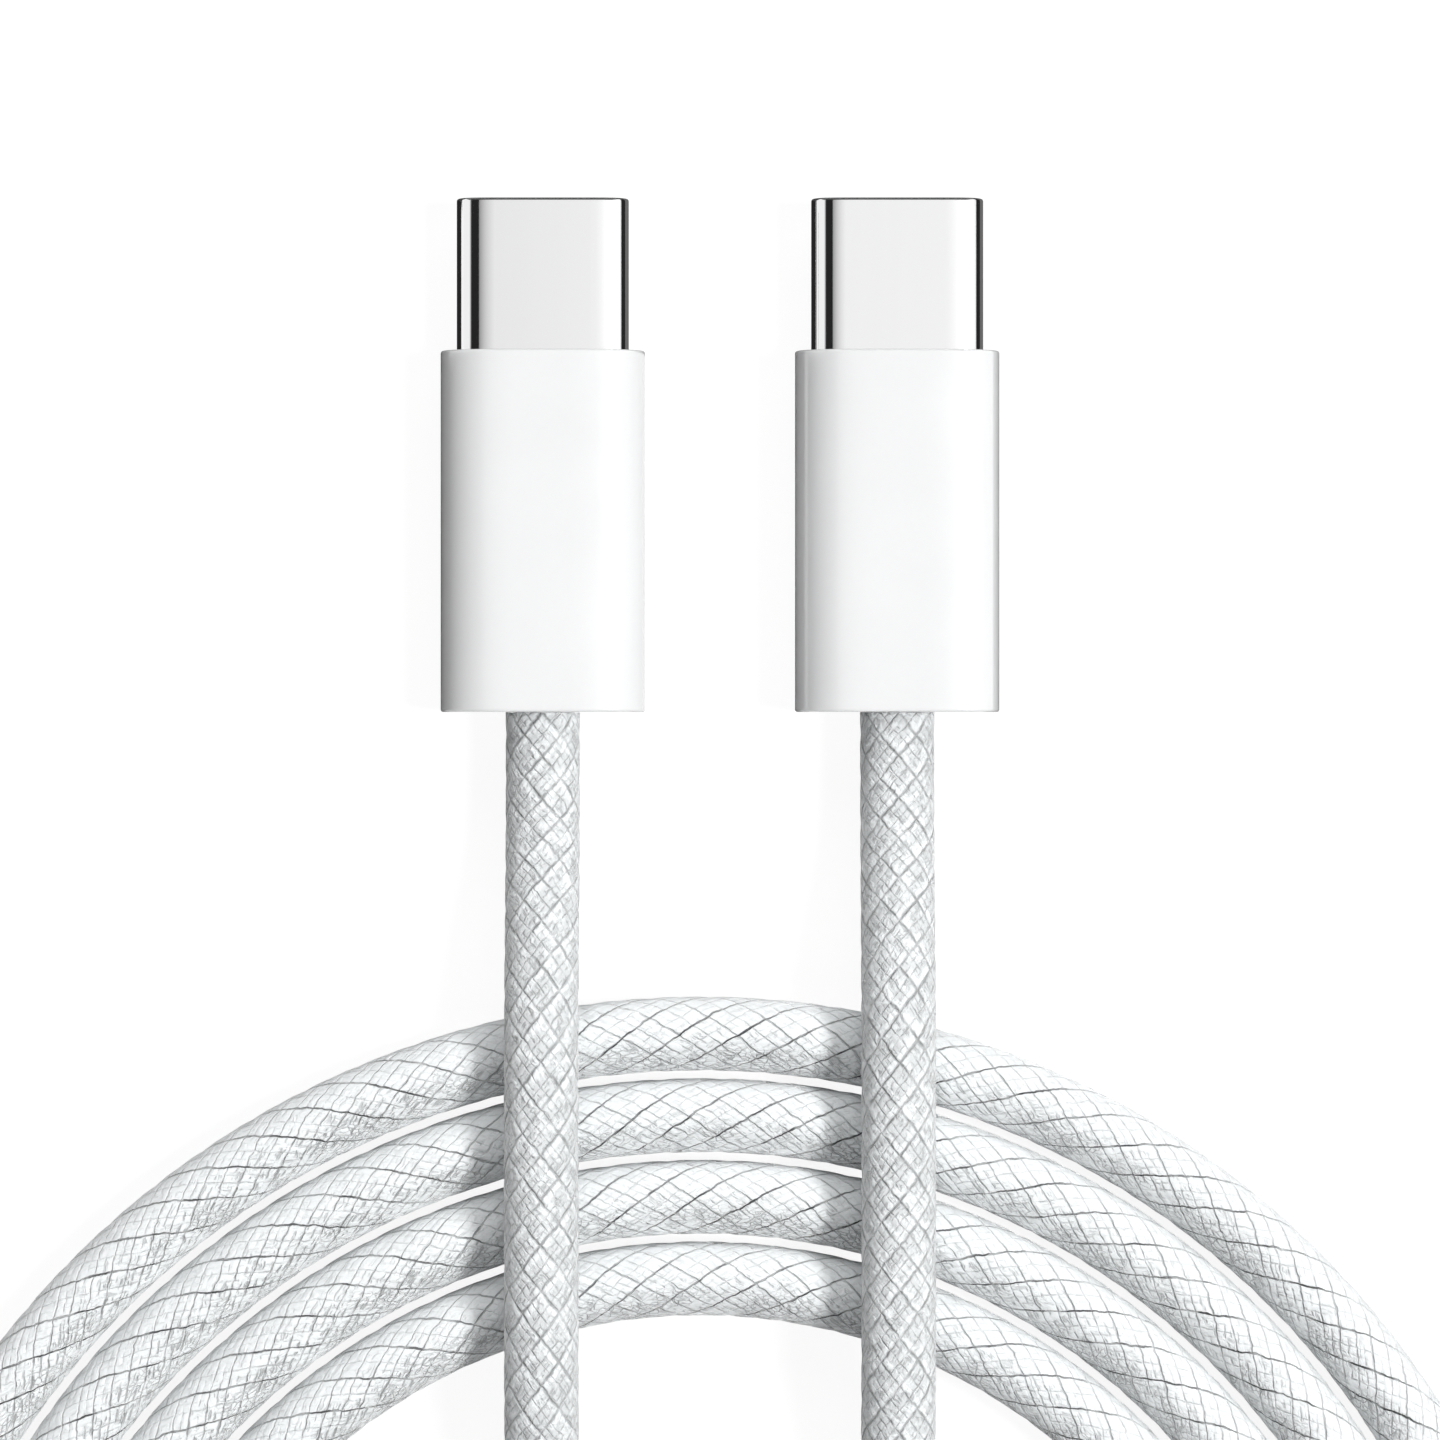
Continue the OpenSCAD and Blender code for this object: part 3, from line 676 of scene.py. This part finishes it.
    pale = tuple(settings.colour)
    soft = ramp(tree, sum_of(times(thread, 0.4), times(patch, 0.6), times(wound, 0.08)), 0.46, 0.64)
    soft = most(soft, ridge_and_highlight)
    # On the inner side of a bend the cloth is painted a little darker, as shade.
    inner_shade_tone = blend_colour(tree, pinched, pale, shade(pale, 0.97))
    cloth = blend_colour(
        tree, soft, blend_colour(tree, wound, shade(pale, 0.83), inner_shade_tone), shade(pale, 1.04))
    # The painted shade: lines, strokes and creases blend the cloth towards the groove shade colour.
    painted_shade = most(
        main, times(half, ramp(tree, light_and_shade_noise, 0.42, 0.60), stroke_shade_mask, 0.5),
        times(strokes, stroke_shade_mask, mixed(wound, 0.62, 0.50), one_less(ridge_and_highlight)),
        times(creases_and_shade, 0.56))
    colour = blend_colour(tree, painted_shade, cloth, tuple(settings.groove_shade_colour))

    height = sum_of(
        times(round_yarn, 0.22), times(thread, 0.3), times(patch, 0.5), times(ridge_and_highlight, 0.6),
        times(main, -0.9), times(half, -0.4), times(strokes, stroke_shade_mask, -0.55), times(creases_and_shade, -0.5))
    bump = node(tree, "ShaderNodeBump", {"Strength": 1.0, "Distance": 0.0001, "Height": height})
    close_material(
        tree, colour, 0.72, bump.outputs[0],
        **{"Sheen Weight": 1.0, "Sheen Roughness": 0.27, "Specular IOR Level": 0.3},
    )
    return made


class CABLE_OT_woven_cord(bpy.types.Operator):
    """Weave the cord's sleeve along its route, from plug to plug"""

    bl_idname = "cable.woven_cord"
    bl_label = "Woven cord"

    def execute(self, context):
        settings = context.scene.cable_cord
        line = smooth_line(cord_route())
        mesh = woven_mesh(
            line, settings.diameter / MM / 2, settings.bands,
            settings.lead_pitch / MM, settings.coil_pitch / MM,
        )
        material = woven_material(settings)
        cord = put_in_scene("woven_cord", mesh, material)
        relief = cord.modifiers.new("braid relief", "NODES")
        relief.node_group = braid_relief_tree()
        set_input(relief, "Band groove", settings.band_groove)
        set_input(relief, "Yarn groove", settings.yarn_groove)
        set_input(relief, "Yarn", material)
        settled(cord)
        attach(cord, "root")
        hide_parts("cord_lead_left", "cord_coil", "cord_lead_right")
        return {"FINISHED"}


# ---------------------------------------------------------------- the plugs
# Edges that turn by more degrees than this stay sharp, and a ring this near each edge holds it.
SHARP_ANGLE = 32
EDGE_RING = 0.05


def soft_oval(width, height, crown, lean, count=30, fine=40, crowding=1.7):
    """A flat oval's quarter: points and outward directions from the top's middle to the side.

    The flats run over a crown length into the round ends with no jump in their bend.
    """
    tilt = np.linspace(0, 1, fine * count + 1) ** crowding * math.pi / 2
    tight = height / 2 - crown * lean / (1 + lean * lean)
    bend = tight + crown / lean * np.exp(-tilt / lean)
    half_steps = np.diff(tilt) * 0.5

    def run(pace):
        return np.concatenate([[0], np.cumsum(half_steps * pace[1:] + half_steps * pace[:-1])])

    x, z = run(bend * np.cos(tilt)), run(bend * np.sin(tilt))
    x += width / 2 - x[-1]
    z = height / 2 - z * (height / 2 / z[-1])
    pick = np.arange(0, len(tilt), fine)
    return np.stack([x[pick], z[pick]], 1), np.stack([np.sin(tilt[pick]), np.cos(tilt[pick])], 1)


def whole_oval(width, height, crown, lean):
    """The quarter mirrored into a closed ring, clockwise as seen from the mouth's back."""
    quarter = soft_oval(width, height, crown, lean)
    turns = ((1, 1, False), (1, -1, True), (-1, -1, False), (-1, 1, True))
    return tuple(
        np.vstack([
            (values * (across, up))[::-1][1:] if backwards else values * (across, up)
            for across, up, backwards in turns])
        for values in quarter)


def wound_shell(name, outline, stations, centre, hole=None, edges=()):
    """A closed wall lofted through rings: each station is a distance along and an inset.

    An inset of None stands for the round hole. Faces after the stations in edges take the
    second material.
    """
    points, normals = outline
    rings = []
    for y, inset in stations:
        if inset is None:
            ring = points / points.max(0)
            ring = ring / np.linalg.norm(ring, axis=1)[:, None] * hole
        else:
            ring = points - normals * inset
        rings.append(np.stack([
            ring[:, 0] + centre[0], np.full(len(ring), y), ring[:, 1] + centre[1]], 1))
    count, around = len(rings), len(points)
    faces, slots = [], []
    for i in range(count):
        one, two = i * around, ((i + 1) % count) * around
        for k in range(around):
            n = (k + 1) % around
            faces.append((one + k, one + n, two + n, two + k))
        slots += [1 if i in edges else 0] * around
    mesh = bpy.data.meshes.new(name)
    mesh.from_pydata((np.vstack(rings) * MM).tolist(), [], faces)
    mesh.polygons.foreach_set("material_index", slots)
    tidy = bmesh.new()
    tidy.from_mesh(mesh)
    bmesh.ops.recalc_face_normals(tidy, faces=tidy.faces)
    tidy.to_mesh(mesh)
    tidy.free()
    mesh.polygons.foreach_set("use_smooth", [True] * len(mesh.polygons))
    mesh.set_sharp_from_angle(angle=math.radians(SHARP_ANGLE))
    mesh.update()
    return mesh


def rounded_corner(y, inset, radius, start, end, steps=6):
    """Stations round a corner: an angle of 0 faces outwards and 90 faces the mouth."""
    turns = [math.radians(start + (end - start) * i / steps) for i in range(steps + 1)]
    return [(y + radius * math.sin(t), inset + radius - radius * math.cos(t)) for t in turns]


class CABLE_OT_housings(bpy.types.Operator):
    """Finish the glossy white housings and their front plates"""

    bl_idname = "cable.housings"
    bl_label = "Housings"

    def execute(self, context):
        settings = context.scene.cable_plug
        gloss = finish(
            "glossy white moulding", tuple(settings.housing_colour), settings.housing_roughness,
            grain=0.00035, relief=0.0000012, mottle=0.015, dulling=0.05,
            **{"Coat Weight": 0.8, "Coat Roughness": 0.06, "Specular IOR Level": 0.9},
        )
        dress(("front_plate",), gloss)
        outline = whole_oval(HOUSING_W, HOUSING_H, HOUSING_CROWN, HOUSING_LEAN)
        r, rear, front, wall = HOUSING_ROUND, PLUG_REAR, HOUSING_FRONT, HOUSING_WALL
        stations = (
            [(rear, None), (rear, r + EDGE_RING)]
            + rounded_corner(rear + r, 0, r, -90, 0)
            + [(rear + r + 2 * EDGE_RING, 0), (front - r - 2 * EDGE_RING, 0)]
            + rounded_corner(front - r, 0, r, 0, 90)
            + [(front, wall), (front - EDGE_RING, wall), (rear + REAR_WALL + EDGE_RING, wall),
               (rear + REAR_WALL, wall), (rear + REAR_WALL, None)]
        )
        for side, x in PLUG_SIDES:
            mesh = wound_shell(
                side + "housing_body", outline, stations, (x, PLUG_AXIS_Z), hole=CORD_HOLE)
            body = put_in_scene(side + "housing_body", mesh, gloss)
            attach(body, "root")
            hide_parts(side + "housing")
        return {"FINISHED"}


class CABLE_OT_shells(bpy.types.Operator):
    """Finish the drawn and polished steel shells"""

    bl_idname = "cable.shells"
    bl_label = "Shells"

    def execute(self, context):
        settings = context.scene.cable_plug
        steel = finish(
            "polished steel", tuple(settings.steel_colour), settings.steel_roughness,
            grain=0.00005, stretch=(1, 60, 1), relief=0.00000004, mottle=0.012, dulling=0.02,
            **{"Metallic": 1.0},
        )
        # The lip round the mouth gets a near-black steel: painted shade for the thin dark line at
        # the mouth's edge.
        cut = finish(
            "cut steel edge", (0.055, 0.055, 0.06), 0.38, grain=0.00003,
            relief=0.000001, mottle=0.3, dulling=0.1, **{"Metallic": 1.0},
        )
        outline = whole_oval(SHELL_W, SHELL_H, SHELL_CROWN, SHELL_LEAN)
        wall, lip, inner = SHELL_WALL, LIP_ROUND, SHELL_WALL - LIP_ROUND
        outside = rounded_corner(MOUTH_Y - lip, 0, lip, 0, 90)
        inside = [
            (MOUTH_Y - inner + inner * math.cos(turn), wall - inner + inner * math.sin(turn))
            for turn in (math.radians(t) for t in (30, 60, 90))]
        stations = [(SHELL_REAR, 0), (SHELL_REAR + EDGE_RING, 0), (MOUTH_Y - lip - EDGE_RING, 0)]
        first = len(stations) + 3
        stations += outside + inside
        last = len(stations) - 1
        stations += [
            (MOUTH_Y - inner - EDGE_RING, wall), (SHELL_REAR + EDGE_RING, wall), (SHELL_REAR, wall)]
        for side, x in PLUG_SIDES:
            mesh = wound_shell(
                side + "drawn_shell", outline, stations, (x, PLUG_AXIS_Z), edges=range(first, last))
            body = put_in_scene(side + "drawn_shell", mesh, steel, cut)
            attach(body, "root")
            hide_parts(side + "shell")
        return {"FINISHED"}


class CABLE_OT_contact_blocks(bpy.types.Operator):
    """Finish the contact blocks and the wafers that carry the contacts"""

    bl_idname = "cable.contact_blocks"
    bl_label = "Contact blocks"

    def execute(self, context):
        colour = tuple(context.scene.cable_plug.block_colour)
        dress(("insulator",), finish(
            "glass filled block moulding", colour, 0.45, grain=0.00006, relief=0.000003,
            mottle=0.10,
        ))
        dress(("upper_wafer", "lower_wafer"), finish(
            "black wafer moulding", (0.035, 0.035, 0.038), 0.4, grain=0.00006,
            relief=0.000003, mottle=0.25,
        ))
        return {"FINISHED"}


class CABLE_OT_contacts(bpy.types.Operator):
    """Finish the gold plated contacts, the latch plate and the ground springs"""

    bl_idname = "cable.contacts"
    bl_label = "Contacts and springs"

    def execute(self, context):
        colour = tuple(context.scene.cable_plug.gold_colour)
        dress(("upper_contacts", "lower_contacts"), finish(
            "gold plating", colour, 0.2, grain=0.00003, stretch=(1, 20, 1),
            relief=0.0000004, mottle=0.12, **{"Metallic": 1.0},
        ))
        dress(("latch_plate", "upper_ground_spring", "lower_ground_spring"), finish(
            "spring steel", (0.62, 0.62, 0.64), 0.26, grain=0.00003, stretch=(1, 30, 1),
            relief=0.0000005, mottle=0.12, **{"Metallic": 1.0},
        ))
        return {"FINISHED"}


class CABLE_OT_boards(bpy.types.Operator):
    """Finish the paddle cards and their capacitors"""

    bl_idname = "cable.boards"
    bl_label = "Boards"

    def execute(self, context):
        dress(("paddle_card",), finish(
            "green solder mask", (0.02, 0.16, 0.06), 0.35, grain=0.00012, stretch=(1, 3, 1),
            relief=0.000004, mottle=0.3, dulling=0.1, **{"Coat Weight": 0.4},
        ))
        dress(("capacitors",), finish(
            "fired ceramic", (0.52, 0.38, 0.22), 0.5, grain=0.00008, relief=0.000003,
            mottle=0.15,
        ))
        return {"FINISHED"}


class CABLE_OT_shields(bpy.types.Operator):
    """Finish the shield cans, the ferrules and the turned back screen wires"""

    bl_idname = "cable.shields"
    bl_label = "Shields"

    def execute(self, context):
        dress(("upper_can", "lower_can", "ferrule"), finish(
            "tinned sheet", (0.70, 0.70, 0.69), 0.32, stretch=(1, 4, 1),
            relief=0.0000015, mottle=0.12, dulling=0.1, **{"Metallic": 1.0},
        ))
        dress(("braid_end",), finish(
            "tinned screen wire", (0.66, 0.60, 0.52), 0.38, grain=0.00008, stretch=(1, 5, 1),
            relief=0.00002, mottle=0.35, dulling=0.1, **{"Metallic": 1.0},
        ))
        return {"FINISHED"}


class CABLE_OT_mouldings(bpy.types.Operator):
    """Finish the inner moulds and the cord's jacket and sleeve inside the plugs"""

    bl_idname = "cable.mouldings"
    bl_label = "Inner mouldings"

    def execute(self, context):
        dress(("inner_mould",), finish(
            "hot melt moulding", (0.70, 0.69, 0.66), 0.5, grain=0.0003, relief=0.00001,
            mottle=0.08,
        ))
        dress(("jacket_end",), finish(
            "soft white jacket", (0.82, 0.82, 0.80), 0.55, relief=0.000004, dulling=0.06,
        ))
        dress(("sleeve_end",), finish(
            "cut sleeve", (0.80, 0.81, 0.82), 0.75, grain=0.00012, stretch=(1, 3, 1),
            relief=0.00002, mottle=0.16, dulling=0.05, **{"Sheen Weight": 0.3},
        ))
        return {"FINISHED"}


class CABLE_OT_wires(bpy.types.Operator):
    """Finish the insulated wires inside the plugs"""

    bl_idname = "cable.wires"
    bl_label = "Wires"

    def execute(self, context):
        for piece, name, colour in (
            ("power_wire", "red wire", (0.55, 0.03, 0.025)),
            ("ground_wire", "black wire", (0.02, 0.02, 0.022)),
            ("control_wire", "blue wire", (0.03, 0.09, 0.42)),
            ("data_wires", "green wire", (0.03, 0.30, 0.08)),
        ):
            dress((piece,), finish(
                name, colour, 0.4, grain=0.00008, stretch=(1, 4, 1), relief=0.000003,
                mottle=0.15,
            ))
        return {"FINISHED"}


# ---------------------------------------------------------------- camera and stage
CAMERA_LENS, SENSOR_WIDTH = 182.4, 36.0
CAMERA_PLACE = (0.0, -0.01269, 0.3524)


class CABLE_OT_camera(bpy.types.Operator):
    """Place the camera straight above the plugs"""

    bl_idname = "cable.camera"
    bl_label = "Camera"

    def execute(self, context):
        lens = bpy.data.cameras.new("camera")
        lens.lens, lens.sensor_width = CAMERA_LENS, SENSOR_WIDTH
        lens.clip_start, lens.clip_end = 0.01, 10.0
        camera = bpy.data.objects.new("camera", lens)
        camera.location = CAMERA_PLACE
        context.scene.collection.objects.link(camera)
        context.scene.camera = camera
        return {"FINISHED"}


def lit_card(name, strength, fades_to=None, between=(0.0, 1.0)):
    """A card that glows evenly, or from one strength to another between two distances across."""
    made, tree = new_material(name)
    if fades_to is not None:
        across = node(tree, "ShaderNodeSeparateXYZ", {
            0: node(tree, "ShaderNodeTexCoord").outputs["Object"]}).outputs[0]
        strength = ramp(tree, across, *between, strength, fades_to, smooth=False)
    glow = node(tree, "ShaderNodeEmission", {"Color": (1, 1, 1, 1), "Strength": strength})
    node(tree, "ShaderNodeOutputMaterial", {"Surface": glow.outputs[0]})
    return made


def seen_or_mirrored(tree):
    """1 for a ray from the camera, off a gloss or through glass, and 0 for any other."""
    rays = node(tree, "ShaderNodeLightPath")
    return chain(tree, "MAXIMUM", *(
        rays.outputs[name] for name in ("Is Camera Ray", "Is Glossy Ray", "Is Transmission Ray")))


def floor_material(bounce):
    """Plain pale floor: white behind the object, and an ordinary matt surface to the light."""
    made, tree = new_material("pale floor")
    grain = object_noise(tree, 0.004)
    pale = blend_colour(tree, ramp(tree, grain, 0.3, 0.7), shade(bounce, 0.97), bounce)
    matt = node(tree, "ShaderNodeBsdfDiffuse", {"Color": pale})
    shaded = node(tree, "ShaderNodeBsdfDiffuse", {"Color": (*FLOOR_SHADED, 1)})
    glow = node(tree, "ShaderNodeEmission", {"Color": (1, 1, 1, 1), "Strength": FLOOR_GLOW})
    white = node(tree, "ShaderNodeAddShader", {0: shaded.outputs[0], 1: glow.outputs[0]})
    mixed = node(tree, "ShaderNodeMixShader", {
        0: seen_or_mirrored(tree), 1: matt.outputs[0], 2: white.outputs[0]})
    node(tree, "ShaderNodeOutputMaterial", {"Surface": mixed.outputs[0]})
    return made


def rectangle(name, corners, material):
    mesh = bpy.data.meshes.new(name)
    mesh.from_pydata([tuple(c) for c in corners], [], [(0, 1, 2, 3)])
    return put_in_scene(name, mesh, material)


def unseen_card(card):
    """Leaves a card to the plugs' gloss alone: it neither shows nor shades."""
    for rays in ("camera", "diffuse", "transmission", "volume_scatter", "shadow"):
        setattr(card, "visible_" + rays, False)
    return card


def near_card(name, corners, material):
    """A small card close to the plugs, from its corners in millimetres."""
    return unseen_card(rectangle(name, [[v * MM for v in c] for c in corners], material))


def far_card(name, low, high, reach, span, material, ahead=False):
    """A long card over the plugs, between two tilts from upright, to one side or ahead of them."""
    x0, z0 = reach * math.sin(math.radians(low)), reach * math.cos(math.radians(low))
    x1, z1 = reach * math.sin(math.radians(high)), reach * math.cos(math.radians(high))
    corners = ((x0, -span, z0), (x1, -span, z1), (x1, span, z1), (x0, span, z0))
    if ahead:
        corners = tuple((y, x, z) for x, y, z in corners)
    return unseen_card(rectangle(name, corners, material))


# How much the floor glows behind the object, and the colour of the part of it that takes shadows.
FLOOR_GLOW, FLOOR_SHADED = 0.92, (0.12, 0.12, 0.12)
FLOOR_REACH = 3.0
LAMP_DISTANCE = 0.6

# Cards over the plugs: their tilts from upright, the strength of their glow at the first, and,
# where it fades, its strength at the last and the distances across between which it changes.
SIDE_CARDS = (
    ("left_fade", -1, -18, 1.0, 0.31, (-0.01, -0.185)),
    ("left_flag", -18, -54, 0.02, 0.9, (-0.41, -0.485)),
    ("right_fade", 2, 24, 1.0, 1.35, (0.02, 0.24)),
    ("right_box", 24, 76, 1.35),
)
SIDE_REACH, SIDE_SPAN = 0.6, 0.8
FRONT_TILTS = (16, 88)
FRONT_REACH, FRONT_SPAN = 0.5, 0.6

# The cards below are in millimetres, and lie or stand this far above the floor.
CARD_LIFT = 0.02
CARD_REAR, CARD_FRONT = -14.0, 14.0
WALL_REAR, WALL_LEAN = -13.5, 0.05
MAT_SIDE, MAT_REAR, MAT_FRONT = 30.0, 12.8, 60.0

# Cards beside the plugs, seen only in the gloss: their black and grey put painted shade of the
# floor into the plugs' reflections. From and to, across and up, and their tone.
FLOOR_CARDS = (
    ("mat_a", -23.0, 0.02, -12.7, 0.02, "black"),
    ("mat_b", -4.3, 0.02, -3.4, 0.02, "grey"),
    ("mat_c", -3.2, 0.02, 4.3, 0.02, "black"),
    ("mat_d", 12.7, 0.02, 13.6, 0.02, "grey"),
    ("rail_a_low", -3.4, 0.02, -3.4, 2.4, "grey"),
    ("rail_a_high", -3.4, 2.4, -3.4, 3.3, "black"),
    ("rail_a_back", -3.3, 1.4, -3.3, 3.3, "white"),
    ("rail_d_low", 13.6, 0.02, 13.6, 2.4, "grey"),
    ("rail_d_high", 13.6, 2.4, 13.6, 3.3, "black"),
)

# Upright cards beside the housings alone: where across, their front end, height and tone.
HOUSING_WALLS = (
    ("wall_a", -23.0, 5.0, 37.0, "black"),
    ("wall_b", -3.35, 4.75, 30.0, "black"),
    ("wall_b_back", -3.45, 4.75, 30.0, "white"),
)

# The lamps: their setting's name, where they shine from, and how many degrees across they look.
LAMPS = (
    ("key", (0.56, -0.05, 0.83), 12),
    ("fill", (0.21, 0.79, 0.57), 30),
    ("side", (-0.25, 0.86, 0.44), 40),
    ("lift", (-0.06, -0.68, 0.73), 40),
)


def set_cards():
    """Stands the cards that only the plugs' gloss sees."""
    tones = {name: lit_card(name + " card", strength) for name, strength in (
        ("black", 0.02), ("grey", 0.16), ("dim", 0.07), ("white", 1.0))}
    for name, low, high, *glow in SIDE_CARDS:
        far_card(name, low, high, SIDE_REACH, SIDE_SPAN, lit_card(name.replace("_", " "), *glow))
    far_card("front_flag", *FRONT_TILTS, FRONT_REACH, FRONT_SPAN, tones["dim"], ahead=True)
    near_card("front_mat", (
        (-MAT_SIDE, MAT_REAR, CARD_LIFT), (MAT_SIDE, MAT_REAR, CARD_LIFT),
        (MAT_SIDE, MAT_FRONT, CARD_LIFT), (-MAT_SIDE, MAT_FRONT, CARD_LIFT)), tones["dim"])
    for name, x, end, top, tone in HOUSING_WALLS:
        near_card(name, (
            (x, WALL_REAR, CARD_LIFT), (x, end, CARD_LIFT),
            (x, end + WALL_LEAN * top, top), (x, WALL_REAR, top)), tones[tone])
    for name, x0, z0, x1, z1, tone in FLOOR_CARDS:
        near_card(name, (
            (x0, CARD_REAR, z0), (x1, CARD_REAR, z1),
            (x1, CARD_FRONT, z1), (x0, CARD_FRONT, z0)), tones[tone])


def set_surround(brightness):
    """A dim even light from all round, behind a white that is only seen and mirrored."""
    world = bpy.data.worlds.new("surround")
    world.use_nodes = True
    tree = world.node_tree
    tree.nodes.clear()
    strength = mixed_number(tree, seen_or_mirrored(tree), brightness, 1.0)
    back = node(tree, "ShaderNodeBackground", {"Color": (1, 1, 1, 1), "Strength": strength})
    node(tree, "ShaderNodeOutputWorld", {"Surface": back.outputs[0]})
    bpy.context.scene.world = world


class CABLE_OT_stage(bpy.types.Operator):
    """Lay the pale floor and set the soft studio light"""

    bl_idname = "cable.stage"
    bl_label = "Stage"

    def execute(self, context):
        settings = context.scene.cable_stage
        far = FLOOR_REACH
        floor = rectangle(
            "floor", ((-far, -far, 0), (far, -far, 0), (far, far, 0), (-far, far, 0)),
            floor_material(tuple(settings.floor_bounce)),
        )
        set_cards()
        for name, toward, across in LAMPS:
            lamp = bpy.data.lights.new(name, "SUN")
            lamp.energy, lamp.angle = getattr(settings, name), math.radians(across)
            light = bpy.data.objects.new(name, lamp)
            light.rotation_euler = Vector(toward).to_track_quat("Z", "Y").to_euler()
            light.location = Vector(toward) * LAMP_DISTANCE
            context.scene.collection.objects.link(light)
        set_surround(settings.surround)
        context.scene.view_settings.view_transform = "Standard"
        return {"FINISHED"}


# ---------------------------------------------------------------- panel and running
MAKING_ORDER = (
    "camera", "woven_cord", "housings", "shells", "contact_blocks", "contacts",
    "boards", "shields", "mouldings", "wires", "stage",
)


class CABLE_PT_panel(bpy.types.Panel):
    """Lists the cable's settings and the steps that make it"""

    bl_idname = "CABLE_PT_panel"
    bl_label = "Charging cable"
    bl_space_type = "VIEW_3D"
    bl_region_type = "UI"
    bl_category = "Cable"

    def draw(self, context):
        for settings in ("cable_cord", "cable_plug", "cable_stage"):
            box = self.layout.box()
            group = getattr(context.scene, settings)
            for name in group.__annotations__:
                box.prop(group, name)
        for step in MAKING_ORDER:
            self.layout.operator("cable." + step)


CLASSES = (
    CordSettings, PlugSettings, StageSettings,
    CABLE_OT_camera, CABLE_OT_woven_cord, CABLE_OT_housings, CABLE_OT_shells,
    CABLE_OT_contact_blocks, CABLE_OT_contacts, CABLE_OT_boards, CABLE_OT_shields,
    CABLE_OT_mouldings, CABLE_OT_wires, CABLE_OT_stage, CABLE_PT_panel,
)


def register():
    for made in CLASSES:
        bpy.utils.register_class(made)
    bpy.types.Scene.cable_cord = PointerProperty(type=CordSettings)
    bpy.types.Scene.cable_plug = PointerProperty(type=PlugSettings)
    bpy.types.Scene.cable_stage = PointerProperty(type=StageSettings)


def unregister():
    for name in ("cable_cord", "cable_plug", "cable_stage"):
        delattr(bpy.types.Scene, name)
    for made in reversed(CLASSES):
        bpy.utils.unregister_class(made)


def main():
    register()
    for step in MAKING_ORDER:
        getattr(bpy.ops.cable, step)()
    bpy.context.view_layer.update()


if __name__ == "__main__":
    main()
